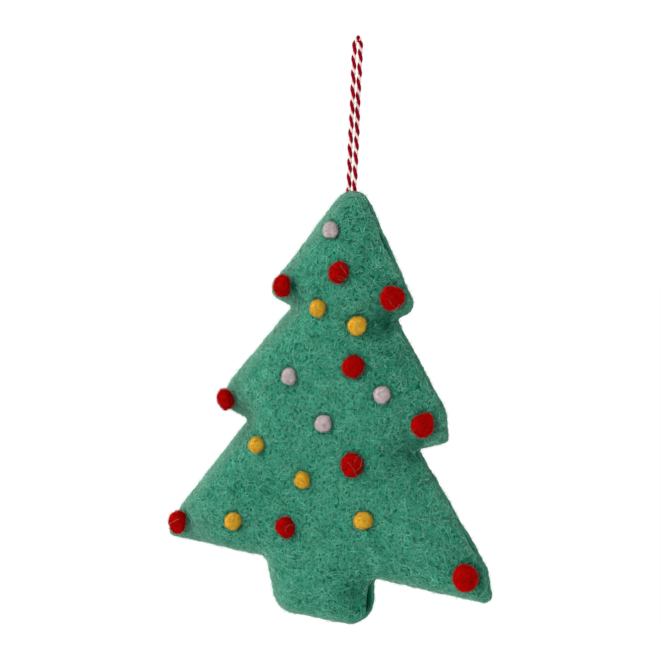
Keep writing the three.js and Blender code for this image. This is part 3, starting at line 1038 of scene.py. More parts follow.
@dataclass
class FeltPillow:
    """Two felt panels, closed at a grooved seam over their wool filling."""

    outline: TreeOutline
    seats: tuple[BallSeat, ...]
    puff: float = 6.6 * MM
    edge_roll: float = 17.0 * MM
    roll_power: float = 1.9
    lip_half: float = 1.7 * MM
    gape_inset: float = 1.1 * MM
    felt_thickness: float = 2.2 * MM
    seam_half: float = 0.15 * MM
    fill_gap: float = 0.6 * MM
    thread_radius: float = 0.25 * MM
    thread_inset: float = 1.05 * MM
    thread_step: float = 0.8 * MM
    thread_gap: float = 2.4 * MM
    thread_wave: float = 0.06 * MM
    thread_sides: int = 7
    # Layers of unevenness: of the faces, of both cut edges alike, of each cut edge, of the seam's
    # gaping and of the filling.
    face_layers: Layers = ((0.30, 17.0, 3.1), (0.13, 6.0, 7.7), (0.06, 2.4, 5.3))
    shared_wander: Layers = ((0.20, 7.0, 2.3),)
    own_wander: Layers = ((0.12, 5.0, 6.1), (0.08, 2.2, 4.7))
    gape_layers: Layers = ((0.3, 16.0, 8.9),)
    fill_layers: Layers = ((0.07, 4.0, 1.9),)
    fill_share: float = 0.92
    # How far in from the edge the padding's swell and the unevenness reach their full height.
    swell_rise: float = 4.0 * MM
    uneven_rise: float = 3.0 * MM
    # Points of the settled padding that are averaged at a place, and the blur between them.
    swell_points: int = 6
    swell_blur: float = 0.3 * MM
    # Inset of the rings that curl each panel's edge into the seam, and their share of its height.
    lip_rings: tuple[tuple[float, float], ...] = (
        (0.08 * MM, 0.75),
        (0.30 * MM, 0.52),
        (0.65 * MM, 0.31),
        (1.1 * MM, 0.17),
        (1.5 * MM, 0.09),
    )
    # The share of the rings' inset where the seam is shut, how dark the groove's painted shade is,
    # and how far the seam stands open away from the spots below.
    shut_depth: float = 0.35
    groove_shade: float = 1.8
    usual_gape: float = 0.1
    shut_lip: float = 0.8 * MM
    shut_push: float = 0.2 * MM
    # Where the seam stands open.
    gapes: tuple[Spot, ...] = spots(
        (13.9, -56.5, 6.0, 0.7),
        (28.0, -92.5, 8.0, 0.25),
        (48.2, -139.2, 5.5, 0.55),
        (18.8, -161.5, 7.0, 1.0),
        (-13.0, -62.0, 6.0, 0.5),
        (-32.0, -131.0, 7.0, 0.6),
    )
    # Where the face sinks in beside the right-hand notches and the trunk's right-hand edge;
    # painted shade darkens it there too.
    shaded_hollows: tuple[Spot, ...] = spots(
        (17.4, -79.0, 3.6, 0.85),
        (13.2, -81.0, 3.4, 0.3),
        (24.0, -87.5, 3.8, 0.4),
        (29.4, -115.4, 3.6, 0.85),
        (26.0, -118.6, 3.0, 0.2),
        (33.6, -122.5, 3.6, 0.35),
        (15.6, -160.0, 3.6, 0.55),
        (13.0, -163.0, 4.0, 0.12),
    )
    # How far the pale edge haze reaches in from the cut edge on the left and on the right, and its
    # strength on the right. The haze stands for worn nap; its greater reach and strength on the
    # left is painted sheen where the light grazes.
    left_haze: float = 5.5 * MM
    right_haze: float = 1.6 * MM
    right_share: float = 0.25
    # Between which sideways parts of the edge's inward normal its reach and strength change.
    reach_turn: tuple[float, float] = (-0.3, 0.6)
    strength_turn: tuple[float, float] = (-0.75, -0.2)
    # The tips, where the pale edge haze reaches further in.
    hazy_tips: tuple[Spot, ...] = spots(
        (-43.0, -150.0, 8.0, 0.6),
        (-30.0, -108.0, 5.0, 0.6),
        (36.4, -107.5, 4.0, 0.45),
        (23.2, -73.4, 4.0, 0.45),
    )
    # Needled dents: depth, strength of the dent and its painted shade, reach past a ball and under
    # it, and how far the edge haze hides them.
    dent: float = 1.0 * MM
    needle_share: float = 0.7
    dent_reach: float = 1.4 * MM
    dent_overlap: float = 0.4 * MM
    haze_hidden_dents: float = 0.6
    edge_rings: tuple[float, ...] = (0.0, 0.06 * MM, 0.2 * MM, 0.45 * MM, 0.8 * MM, 1.25 * MM)
    rim_step: float = 0.6 * MM
    face_step: float = 0.85 * MM
    face_clear: float = 0.45 * MM
    # Spacing of the points on hidden faces, and how far they stay from the rim.
    cloth_grid: tuple[float, float] = (2.2 * MM, 1.2 * MM)
    hollow_grid: tuple[float, float] = (2.0 * MM, 1.2 * MM)
    fill_grid: tuple[float, float] = (1.6 * MM, 0.9 * MM)
    pinch: float = 2.0 * MM
    pinch_reach: float = 7.0 * MM
    start_share: float = 0.93
    most_move: float = 1.2 * MM
    skins: dict[Side, Skin] = field(default_factory=dict)
    settled: dict[Side, tuple[KDTree, Array]] = field(default_factory=dict)

    def build(self) -> None:
        """Settles the padding and builds both panels, the filling and the seam thread."""
        self._settle()
        material = FELT.material()
        for side in Side:
            panel = self._panel(side)
            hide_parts(f"{side.name.lower()}_panel")
            dress(panel, material, "tree")
        filling = self._filling()
        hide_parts("stuffing")
        dress(filling, FILLING_WOOL.material(), "tree")
        thread = self._thread()
        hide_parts("seam_thread")
        dress(thread, SHADED_SEWING_YARN.material(), "tree")

    def _rolled(self, distance: Array, reach: float) -> Array:
        """How far a face has rolled up, from 0 at its edge to 1 on its flat."""
        share = np.clip(distance / reach, 0.0, 1.0)
        return (1.0 - (1.0 - share) ** self.roll_power) ** (1.0 / self.roll_power)

    def _settle(self) -> None:
        """Swells a closed pillow with cloth pressure and keeps how far each face moved."""
        loop = self.outline.loop(2.0 * MM)
        places, triangles = covered([loop], *self.cloth_grid)
        rise = self._rolled(depth_inside(places, loop), self.edge_roll)
        height = self.puff * rise * self.start_share
        start, faces = two_faces(places, triangles, height, len(loop))
        rest = self._swollen(start, faces, len(loop))
        moved = np.clip((rest - start)[:, 1], -self.most_move, self.most_move)
        for side, chosen in (
            (Side.FRONT, np.arange(len(places))),
            (Side.BACK, np.r_[0 : len(loop), len(places) : len(start)]),
        ):
            swell = moved[chosen] * side.value
            log.info("%s padding moved %.2f mm at most", side.name, swell.max() / MM)
            self.settled[side] = (place_finder(start[chosen][:, ::2]), swell)

    def _swollen(self, start: Array, faces: Array, held: int) -> Array:
        """Runs the cloth.

        Args:
            start: the pillow's corners.
            faces: its triangles.
            held: how many corners, the first ones, are held by the seam.

        Returns:
            The corners after the run.
        """
        pillow = mesh_object("pillow_cloth", start * CLOTH_SCALE, faces)
        seam = pillow.vertex_groups.new(name="seam")
        seam.add(list(range(held)), 1.0, "REPLACE")
        settings = pillow.modifiers.new("cloth", "CLOTH").settings
        for key, setting in CLOTH_SETTINGS.items():
            setattr(settings, key, setting)
        settings.effector_weights.gravity = 0.0
        scene = bpy.context.scene
        for frame in range(1, CLOTH_FRAMES + 1):
            scene.frame_set(frame)
        shown = pillow.evaluated_get(bpy.context.evaluated_depsgraph_get())
        rest = np.array([v.co for v in shown.data.vertices]) / CLOTH_SCALE
        scene.frame_set(1)
        mesh = pillow.data
        bpy.data.objects.remove(pillow)
        bpy.data.meshes.remove(mesh)
        return rest

    def _swell(self, side: Side, places: Array) -> Array:
        """How far the settled padding stands out at places.

        Args:
            side: which panel.
            places: the places' X and Z.

        Returns:
            One height for each place.
        """
        finder, swell = self.settled[side]
        found = np.zeros(len(places))
        for k, (x, z) in enumerate(places):
            near = finder.find_n((x, 0.0, z), self.swell_points)
            weights = np.array([1.0 / (far + self.swell_blur) ** 2 for _, _, far in near])
            found[k] = weights @ swell[[i for _, i, _ in near]] / weights.sum()
        return found

    def _panel(self, side: Side) -> Object:
        """One felt panel as a closed shell.

        Args:
            side: which panel.

        Returns:
            The panel.
        """
        loop = self._cut_edge(side)
        into = inwards(loop)
        rings = [moved_in(loop, inset) for inset in self.edge_rings]
        places, outer = covered(rings, self.face_step, self.edge_rings[-1] + self.face_clear)
        open_share = self._openness(loop)
        lip = self.shut_lip + (self.lip_half - self.shut_lip) * open_share
        skin = lifted(places, side.value * self._face_height(side, places, loop, lip))

        points, faces = [skin], [outer]
        count, last = len(skin), np.arange(len(loop))
        in_share = self.shut_depth + (1.0 - self.shut_depth) * open_share
        for inset, share in self.lip_rings:
            ring = loop + into * (inset * in_share)[:, None]
            points.append(lifted(ring, side.value * lip * share))
            following = np.arange(count, count + len(ring))
            strip = ring_faces(last, following)[:, ::-1]
            faces.append(np.vstack([strip[:, :3], strip[:, [0, 2, 3]]]))
            count, last = count + len(ring), following
        rolled = np.vstack(points)
        inside_ring = moved_in(loop, self.felt_thickness)
        hollow, inner = covered([inside_ring], *self.hollow_grid)
        depth = depth_inside(hollow, inside_ring)
        roof = self.puff * self.start_share - self.felt_thickness
        rise = self._rolled(depth, self.edge_roll - self.felt_thickness)
        ceiling = self.seam_half + (roof - self.seam_half) * rise
        points.append(lifted(hollow, side.value * ceiling))
        faces.append(ring_faces(last, np.arange(count, count + len(loop)))[:, ::-1])
        faces.append(inner[:, ::-1] + count)
        turn = 1 if self._faces_out(skin, outer, side) else -1
        all_faces = [list(face)[::turn] for part in faces for face in part]
        shown = np.vstack(faces[:3])[:, ::turn]
        self.skins[side] = Skin(rolled, shown)
        panel = mesh_object(f"{side.name.lower()}_felt", np.vstack(points), all_faces)
        hidden = np.zeros(len(hollow))
        # The edge haze, worn nap with painted sheen on the lit left edges.
        store(panel.data, EDGE_HAZE_AND_SHEEN, np.concatenate([self.edge_haze_and_sheen(rolled[:, ::2]), hidden]))
        # Painted shade in the needled dents and the hollows.
        pressed = self.pressed(side, rolled[:, ::2])
        # Painted shade in the seam's groove, darker deeper in and where the seam stands open.
        groove = [
            self.groove_shade * (1.0 - share) ** (3.0 - 1.5 * open_share) * open_share
            for _, share in self.lip_rings
        ]
        pressed[len(skin):] = np.concatenate(groove)
        store(panel.data, PAINTED_SHADE, np.concatenate([pressed, hidden]))
        return panel

    def _face_height(self, side: Side, places: Array, loop: Array, lip: Array) -> Array:
        """How far a panel's outer face stands off the seam plane.

        Args:
            side: which panel.
            places: where, in X and Z, the loop's own points first.
            loop: the panel's cut edge.
            lip: the height of the face at each point of the edge.

        Returns:
            One height for each place.
        """
        distance = depth_inside(places, loop)
        foot = lip[nearest(places, loop)]
        rise = self._rolled(distance, self.edge_roll)
        height = foot + (self.puff * self.start_share - foot) * rise
        height += self._swell(side, places) * smoothstep(distance, 0.0, self.swell_rise)
        uneven = layered(lifted(places, 0.0), self.face_layers, side.value)
        off_edge = smoothstep(distance, 0.0, self.uneven_rise)
        height += uneven * MM * off_edge
        for notch in self.outline.notches():
            near = np.exp(-(((places - notch) ** 2).sum(1)) / self.pinch_reach**2)
            height -= self.pinch * near * off_edge
        return height - self.dent * self.pressed(side, places) * off_edge

    def _openness(self, loop: Array) -> Array:
        """How far the seam stands open along the edge.

        Args:
            loop: the edge's points.

        Returns:
            A share from 0 to 1 for each point.
        """
        share = self.usual_gape + layered(lifted(loop, 0.0), self.gape_layers)
        for gape in self.gapes:
            share = np.maximum(share, gape.at(loop))
        return np.clip(share, 0.0, 1.0)

    def pressed(self, side: Side, places: Array) -> Array:
        """How far the felt is pressed in, by the needle round the balls or beside a notch; the
        same share darkens the felt there as painted shade.

        Args:
            side: which panel.
            places: the places' X and Z.

        Returns:
            A share from 0 to 1 for each place.
        """
        pressed = np.zeros(len(places))
        if side is Side.FRONT:
            for seat in self.seats:
                far = np.linalg.norm(places - seat.centre[::2], axis=1)
                near, reach = seat.radius - self.dent_overlap, seat.radius + self.dent_reach
                pressed = np.maximum(pressed, 1.0 - smoothstep(far, near, reach))
            pressed *= self.needle_share * (1.0 - self.haze_hidden_dents * self.edge_haze_and_sheen(places))
        for hollow in self.shaded_hollows:
            pressed = np.maximum(pressed, hollow.at(places))
        return pressed

    def edge_haze_and_sheen(self, places: Array) -> Array:
        """How hazy the edge makes places, further in from the left-hand cuts: worn nap, with
        painted sheen on the lit left edges.

        Args:
            places: the places' X and Z.

        Returns:
            A share from 0 to 1 for each place.
        """
        loop = self.outline.loop(1.5 * MM)
        across = inwards(loop)[nearest(places, loop), 0]
        leftness = smoothstep(across, *self.reach_turn)
        reach = self.right_haze + (self.left_haze - self.right_haze) * leftness
        clearness = smoothstep(across, *self.strength_turn)
        strength = self.right_share + (1.0 - self.right_share) * clearness
        worn = strength * (1.0 - smoothstep(edge_distance(places, loop) / reach, 0.0, 1.0))
        for tip in self.hazy_tips:
            worn = np.maximum(worn, tip.at(places))
        return worn

    def _cut_edge(self, side: Side) -> Array:
        """A panel's edge as the scissors left it.

        Args:
            side: which panel.

        Returns:
            The edge's X and Z.
        """
        loop = self.outline.loop(self.rim_step)
        flat = lifted(loop, 0.0)
        wander = layered(flat, self.shared_wander) + layered(flat, self.own_wander, side.value)
        open_share = self._openness(loop)
        inset = self.gape_inset * open_share**2 if side is Side.FRONT else 0.0
        inset = inset - self.shut_push * (1.0 - open_share) + wander * MM
        return loop + inwards(loop) * inset[:, None]

    @staticmethod
    def _faces_out(points: Array, faces: Array, side: Side) -> bool:
        """Whether the triangles face the panel's own way."""
        a, b, c = (points[faces[:, k]] for k in range(3))
        return float(np.cross(b - a, c - a)[:, 1].sum()) * side.value > 0

    def _filling(self) -> Object:
        """The lumpy wool pillow inside the panels.

        Returns:
            The filling.
        """
        loop = moved_in(self.outline.loop(1.2 * MM), self.felt_thickness + self.fill_gap)
        places, triangles = covered([loop], *self.fill_grid)
        roof = self.puff * self.start_share - self.felt_thickness - self.fill_gap
        rise = self._rolled(depth_inside(places, loop), self.edge_roll - self.felt_thickness)
        uneven = self.fill_share + layered(lifted(places, 0.0), self.fill_layers)
        height = roof * rise * uneven
        points, faces = two_faces(places, triangles, height, len(loop))
        turn = 1 if self._faces_out(points, triangles, Side.FRONT) else -1
        return mesh_object("wool_filling", points, faces[:, ::turn])

    def _thread(self) -> Object:
        """The sewing thread at the bottom of the seam groove, broken only at the crown.

        Returns:
            The thread.
        """
        loop = self.outline.loop(self.thread_step)
        gap = math.ceil(self.thread_gap / self.thread_step)
        line = (loop + inwards(loop) * self.thread_inset)[gap:-gap]
        route = lifted(line, self.thread_wave * np.sin(np.arange(len(line)) * 1.7))
        radii = np.full(len(route), self.thread_radius)
        points, faces = tube(route, radii, self.thread_sides)
        return mesh_object("seam_stitching", points, faces)


def tube(route: Array, radii: Array, sides: int) -> tuple[Array, list[list[int]]]:
    """A closed round tube along a route.

    Args:
        route: the points down its middle.
        radii: its radius at each point.
        sides: the corners of its section.

    Returns:
        Its points and faces.
    """
    first, second = carried_frames(route)
    angles = 2.0 * math.pi * np.arange(sides) / sides
    ring = first[:, None] * np.cos(angles)[:, None] + second[:, None] * np.sin(angles)[:, None]
    points = (route[:, None] + ring * radii[:, None, None]).reshape(-1, 3)
    numbers = np.arange(len(points)).reshape(len(route), sides)
    faces = [list(f) for a, b in zip(numbers, numbers[1:]) for f in ring_faces(a, b)]
    faces.append(list(numbers[0][::-1]))
    faces.append(list(numbers[-1]))
    return points, faces


# Loose fibres


def name_seed(name: str) -> int:
    """A seed for random draws that depends on a name alone."""
    return sum(place * ord(letter) for place, letter in enumerate(name, 1))


@dataclass(frozen=True)
class FibreCoat:
    """Short curly fibres on a surface, each a slim three-sided tube."""

    count: int
    shortest: float
    longest: float
    radius: float
    lift: float
    curl: float
    stand: float
    shades: tuple[float, float]
    hazy_shades: tuple[float, float] = (0.86, 1.0)
    joints: int = 5
    # How deep both ends are sunk, and how unevenly a fibre curls.
    sunk: float = 0.04 * MM
    waver: float = 0.35

    def build(
        self,
        name: str,
        skin: BVHTree,
        starts: Array,
        normals: Array,
        haze: Array | float = 0.0,
        tone: Array | float = 0.0,
    ) -> Object:
        """Grows the fibres.

        Args:
            name: the piece's name, which also seeds the random draws.
            skin: the surface that they lie on.
            starts: where they start, one row each.
            normals: the surface's normals there.
            haze: each fibre's chance of a hazy shade, partly painted sheen.
            tone: how much paler than usual each fibre is; it is negative where painted shade
                darkens it.

        Returns:
            The piece with all the fibres, its shades and its shade map.
        """
        rng = np.random.default_rng(name_seed(name))
        path, out = self._paths(skin, starts, normals, rng)
        low, high = self.shades
        shade = low + (high - low) * rng.beta(2.0, 2.0, len(starts)) + tone
        shade = np.clip(shade, 0.0, high)
        hazy = rng.uniform(*self.hazy_shades, len(starts))
        shade = np.where(rng.random(len(starts)) < haze, hazy, shade)
        return self._tubes(name, path, out, shade)

    def _paths(
        self, skin: BVHTree, starts: Array, normals: Array, rng: np.random.Generator
    ) -> tuple[Array, Array]:
        """Walks every fibre over the surface.

        Args:
            skin: the surface.
            starts: where the fibres start.
            normals: the surface's normals there.
            rng: the random draws.

        Returns:
            The fibres' points and the surface normals at them.
        """
        count = len(starts)
        step = rng.uniform(self.shortest, self.longest, count) / (self.joints - 1)
        turn = rng.normal(0.0, self.curl, count)
        arch = self.lift * rng.uniform(0.2, 1.0, count)
        stand = self.stand * rng.uniform(0.0, 1.0, count)
        heading = rng.normal(size=(count, 3))
        place, normal = starts.copy(), normals.copy()
        path, out = [], []
        for joint in range(self.joints):
            share = joint / (self.joints - 1)
            rise = math.sin(math.pi * share)
            height = arch * rise - self.sunk * (1.0 - rise) + stand * share
            path.append(place + normal * height[:, None])
            out.append(normal.copy())
            heading = unit(heading - normal * (heading * normal).sum(1, keepdims=True))
            bend = (turn + rng.normal(0.0, self.curl * self.waver, count))[:, None]
            heading = heading * np.cos(bend) + np.cross(normal, heading) * np.sin(bend)
            place = place + heading * step[:, None]
            for k in range(count):
                near, facing, _, _ = skin.find_nearest(Vector(place[k]))
                place[k] = near
                normal[k] = facing
        return np.stack(path, axis=1), np.stack(out, axis=1)

    def _tubes(self, name: str, path: Array, out: Array, shade: Array) -> Object:
        """Makes the fibres' tubes.

        Args:
            name: the piece's name.
            path: the fibres' points.
            out: the surface normals at them.
            shade: each fibre's shade from 0 to 1.

        Returns:
            The piece.
        """
        count, joints = path.shape[:2]
        along = unit(np.gradient(path, axis=1))
        side = unit(np.cross(along, out))
        up = np.cross(side, along)
        taper = 0.45 + 0.55 * np.sin(np.linspace(0.0, math.pi, joints))
        radius = (self.radius * taper)[None, :, None]
        corners = [
            path + radius * (side * math.cos(angle) + up * math.sin(angle))
            for angle in (math.pi / 2, math.pi * 7 / 6, math.pi * 11 / 6)
        ]
        points = np.stack(corners, axis=2).reshape(-1, 3)
        numbers = np.arange(joints * 3).reshape(joints, 3)
        one = [face for a, b in zip(numbers, numbers[1:]) for face in ring_faces(a, b)]
        firsts = (np.arange(count) * joints * 3)[:, None, None]
        quads = np.array(one)[None] + firsts
        caps = np.array([numbers[0][::-1], numbers[-1]])[None] + firsts
        faces = [*quads.reshape(-1, 4).tolist(), *caps.reshape(-1, 3).tolist()]
        piece = mesh_object(name, points, faces)
        self._shade(piece.data, shade, joints)
        return piece

    @staticmethod
    def _shade(mesh: Mesh, shade: Array, joints: int) -> None:
        """Stores each fibre's shade, and maps fibres of one shade to one spot.

        Args:
            mesh: the fibres' mesh.
            shade: each fibre's shade.
            joints: the rings of each fibre.
        """
        each = np.repeat(shade, joints * 3)
        store(mesh, SHADE, each)
        corner = np.tile(np.arange(3), joints * len(shade))
        ring = np.tile(np.repeat(np.arange(joints), 3), len(shade))
        across = each + 0.012 * (corner - 1)
        spot = np.stack([0.02 + 0.96 * across, 0.05 + 0.9 * ring / (joints - 1)], axis=1)
        loops = np.zeros(len(mesh.loops), np.int32)
        mesh.loops.foreach_get("vertex_index", loops)
        layer = mesh.uv_layers.new(name=SHADE_MAP)
        layer.uv.foreach_set("vector", spot[loops].astype(np.float32).ravel())


@dataclass
class FeltNap:
    """The nap of both felt faces: matted curls, a haze of ends that stand up, and loose hairs."""

    pillow: FeltPillow
    balls: NeedledBalls
    curls: FibreCoat = FibreCoat(
        count=7200, shortest=1.2 * MM, longest=3.2 * MM, radius=0.072 * MM, lift=0.2 * MM,
        curl=0.75, stand=0.0, shades=(0.22, 0.8),
    )
    haze: FibreCoat = FibreCoat(
        count=5500, shortest=0.5 * MM, longest=1.3 * MM, radius=0.035 * MM, lift=0.1 * MM,
        curl=0.4, stand=0.6 * MM, shades=(0.5, 1.0),
    )
    hairs: FibreCoat = FibreCoat(
        count=2200, shortest=0.8 * MM, longest=2.4 * MM, radius=0.026 * MM, lift=0.15 * MM,
        curl=0.35, stand=1.1 * MM, shades=(0.3, 0.9),
    )
    tangle: FibreCoat = FibreCoat(
        count=4200, shortest=2.2 * MM, longest=5.2 * MM, radius=0.056 * MM, lift=0.3 * MM,
        curl=0.4, stand=0.0, shades=(0.42, 0.8), joints=7,
    )
    strays: FibreCoat = FibreCoat(
        count=90, shortest=4.0 * MM, longest=9.0 * MM, radius=0.022 * MM, lift=0.3 * MM,
        curl=0.12, stand=0.3 * MM, shades=(0.7, 1.0), joints=14,
    )
    strands: FibreCoat = FibreCoat(
        count=7, shortest=4.0 * MM, longest=7.0 * MM, radius=0.026 * MM, lift=0.3 * MM,
        curl=0.06, stand=0.2 * MM, shades=(0.8, 1.0), joints=14,
    )
    crossed_ball: str = "red_ball_1"
    mottle: float = 0.2
    mottle_size: float = 3.2 * MM
    # The least edge haze where hairs grow, the haze's share of hazy fibres, which are partly
    # painted sheen, and the painted shade of the dents and hollows on the fibres.
    hair_edge: float = 0.13
    haze_and_sheen_share: float = 0.8
    dent_shade: float = 0.45

    def build(self) -> None:
        """Grows the nap of both panels."""
        matted, hazy = FELT_FIBRES.material(), FELT_HAZE.material()
        for side in Side:
            skin = self.pillow.skins[side]
            near_edge = self.pillow.edge_haze_and_sheen(skin.middles()[:, ::2]) > self.hair_edge
            self._grow(side, "curls", self.curls, skin, matted)
            self._grow(side, "haze", self.haze, skin, hazy)
            self._grow(side, "hairs", self.hairs, skin.part(near_edge), hazy)
            if side is Side.FRONT:
                self._grow(side, "tangle", self.tangle, skin, matted)
                ground = skin.with_others(list(self.balls.skins.values()))
                self._grow(side, "strays", self.strays, ground, hazy)
                ball = self.balls.skins[self.crossed_ball]
                outer = ball.part(ball.middles()[:, 1] < ball.points[:, 1].mean())
                self._grow(side, "strands", self.strands, outer, hazy, ground)

    def _grow(
        self,
        side: Side,
        kind: str,
        coat: FibreCoat,
        skin: Skin,
        material: Material,
        ground: Skin | None = None,
    ) -> None:
        """Grows one coat of a panel.

        Args:
            side: which panel.
            kind: the coat's name.
            coat: its fibres.
            skin: the surface that they start from.
            material: their finish.
            ground: the surface that they lie on, if it is more than they start from.
        """
        name = f"{side.name.lower()}_felt_{kind}"
        places, normals = skin.scatter(coat.count, np.random.default_rng(name_seed(kind)))
        # Fibres in the edge haze take greyer pale shades: partly painted sheen.
        haze = self.haze_and_sheen_share * self.pillow.edge_haze_and_sheen(places[:, ::2])
        tone = self.mottle * lumps(places, self.mottle_size, 4.3)
        # Painted shade: fibres are darker in the dents and hollows.
        tone -= self.dent_shade * self.pillow.pressed(side, places[:, ::2])
        fibres = coat.build(name, (ground or skin).finder(), places, normals, haze, tone)
        dress(fibres, material, "tree")


# The needled balls


@dataclass(frozen=True)
class BallKind:
    """One colour of ball: its wool, its record slot, and its stretch across and up the tree."""

    wool: WoolFinish
    slot: str
    across: float
    up: float


BALL_KINDS = {
    Wool.RED: BallKind(RED_WOOL, "red_wool", 1.01, 1.14),
    Wool.YELLOW: BallKind(YELLOW_WOOL, "mustard_wool", 0.92, 0.95),
    Wool.PALE: BallKind(PALE_WOOL, "pale_wool", 0.88, 0.94),
}


@dataclass
class NeedledBalls:
    """All the wool balls, each a slightly uneven lump sunk into the felt, with its own fuzz."""

    seats: dict[str, BallSeat]
    sides: int = 48
    rings: int = 32
    flatness: float = 0.86
    # Flat dents: how many, how sharply they end, and how near the centre they lie, in radii.
    dents: int = 7
    dent_power: int = 14
    dent_depths: tuple[float, float] = (0.80, 0.95)
    # Unevenness and grain in radii, and the size of their lumps.
    unevenness: float = 0.08
    lump_size: float = 1.1
    grain: float = 0.025
    grain_size: float = 0.3
    # The lowest place of fuzz along a ball's axis, in radii from its centre.
    fuzz_low: float = -0.4
    # Balls on the left-hand tips, pressed flat by the felt on their inner side.
    tucked: tuple[str, ...] = ("red_ball_2", "red_ball_5", "red_ball_8")
    tuck_side: tuple[float, float, float] = (0.909, 0.0, -0.417)
    tuck_depth: float = 0.66
    skins: dict[str, Skin] = field(default_factory=dict)
    fuzz: FibreCoat = FibreCoat(
        count=420, shortest=0.7 * MM, longest=2.0 * MM, radius=0.038 * MM, lift=0.16 * MM,
        curl=0.5, stand=0.6 * MM, shades=(0.1, 1.0),
    )

    def build(self) -> None:
        """Builds every ball of every colour."""
        for colour, kind in BALL_KINDS.items():
            wool = kind.wool
            stops = ((0.0, wool.deep), (0.5, wool.base), (1.0, wool.pale))
            matted, loose = wool.material(), FibreFinish(f"{colour.value}_fuzz", stops).material()
            for name in self.seats:
                if name.startswith(f"{colour.value}_ball_"):
                    self._ball(name, kind, matted, loose)

    def _ball(self, name: str, kind: BallKind, matted: Material, loose: Material) -> None:
        """Builds one ball and its fuzz.

        Args:
            name: the part's node that it stands for.
            kind: its colour's facts.
            matted: the ball's finish.
            loose: the finish of its fuzz.
        """
        seat = self.seats[name]
        number = sum(map(ord, name))
        rng = np.random.default_rng(number)
        points, faces = self._globe(self.sides, self.rings)
        dents = unit(rng.normal(size=(self.dents, 3)))
        depths = rng.uniform(*self.dent_depths, self.dents)
        if name in self.tucked:
            dents = np.vstack((dents, self.tuck_side))
            depths = np.append(depths, self.tuck_depth)
        pressed = np.maximum(points @ dents.T, 0.0) / depths
        bulge = (1.0 + (pressed**self.dent_power).sum(1)) ** (-1.0 / self.dent_power)
        bulge *= 1.0 + self.unevenness * lumps(points, self.lump_size, number * 1.37)
        bulge += self.grain * lumps(points, self.grain_size, number * 0.73)
        shaped = points * bulge[:, None] * (kind.across, kind.up, self.flatness)
        turn = np.array(Vector((0.0, 0.0, 1.0)).rotation_difference(Vector(seat.axis)).to_matrix())
        placed = seat.centre + (shaped * seat.radius) @ turn.T
        ball = mesh_object(f"{name}_wool", placed, faces)
        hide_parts(name)
        dress(ball, matted, "tree")
        skin = Skin(placed, np.array([t for f in faces for t in self._split(f)]))
        self.skins[name] = skin
        places, normals = skin.scatter(self.fuzz.count, rng)
        shown = (places - seat.centre) @ seat.axis > self.fuzz_low * seat.radius
        fuzz = self.fuzz.build(f"{name}_fuzz", skin.finder(), places[shown], normals[shown])
        dress(fuzz, loose, "tree")

    @staticmethod
    def _split(face: list[int]) -> list[list[int]]:
        """A face as triangles."""
        return [[face[0], face[k], face[k + 1]] for k in range(1, len(face) - 1)]

    @staticmethod
    def _globe(sides: int, rings: int) -> tuple[Array, list[list[int]]]:
        """A unit ball about +Z.

        Args:
            sides: corners round each ring.
            rings: steps from pole to pole.

        Returns:
            Its points and faces.
        """
        heights = np.linspace(0.0, math.pi, rings + 1)[1:-1]
        turns = 2.0 * math.pi * np.arange(sides) / sides
        body = [
            (math.sin(h) * math.cos(t), math.sin(h) * math.sin(t), math.cos(h))
            for h in heights
            for t in turns
        ]
        points = np.array([*body, (0.0, 0.0, 1.0), (0.0, 0.0, -1.0)])
        numbers = np.arange(len(body)).reshape(rings - 1, sides)
        faces = [list(f)[::-1] for a, b in zip(numbers, numbers[1:]) for f in ring_faces(a, b)]
        top, bottom = len(body), len(body) + 1
        for k in range(sides):
            after = (k + 1) % sides
            faces.append([top, int(numbers[0][k]), int(numbers[0][after])])
            faces.append([bottom, int(numbers[-1][after]), int(numbers[-1][k])])
        return points, faces


# The twine loop


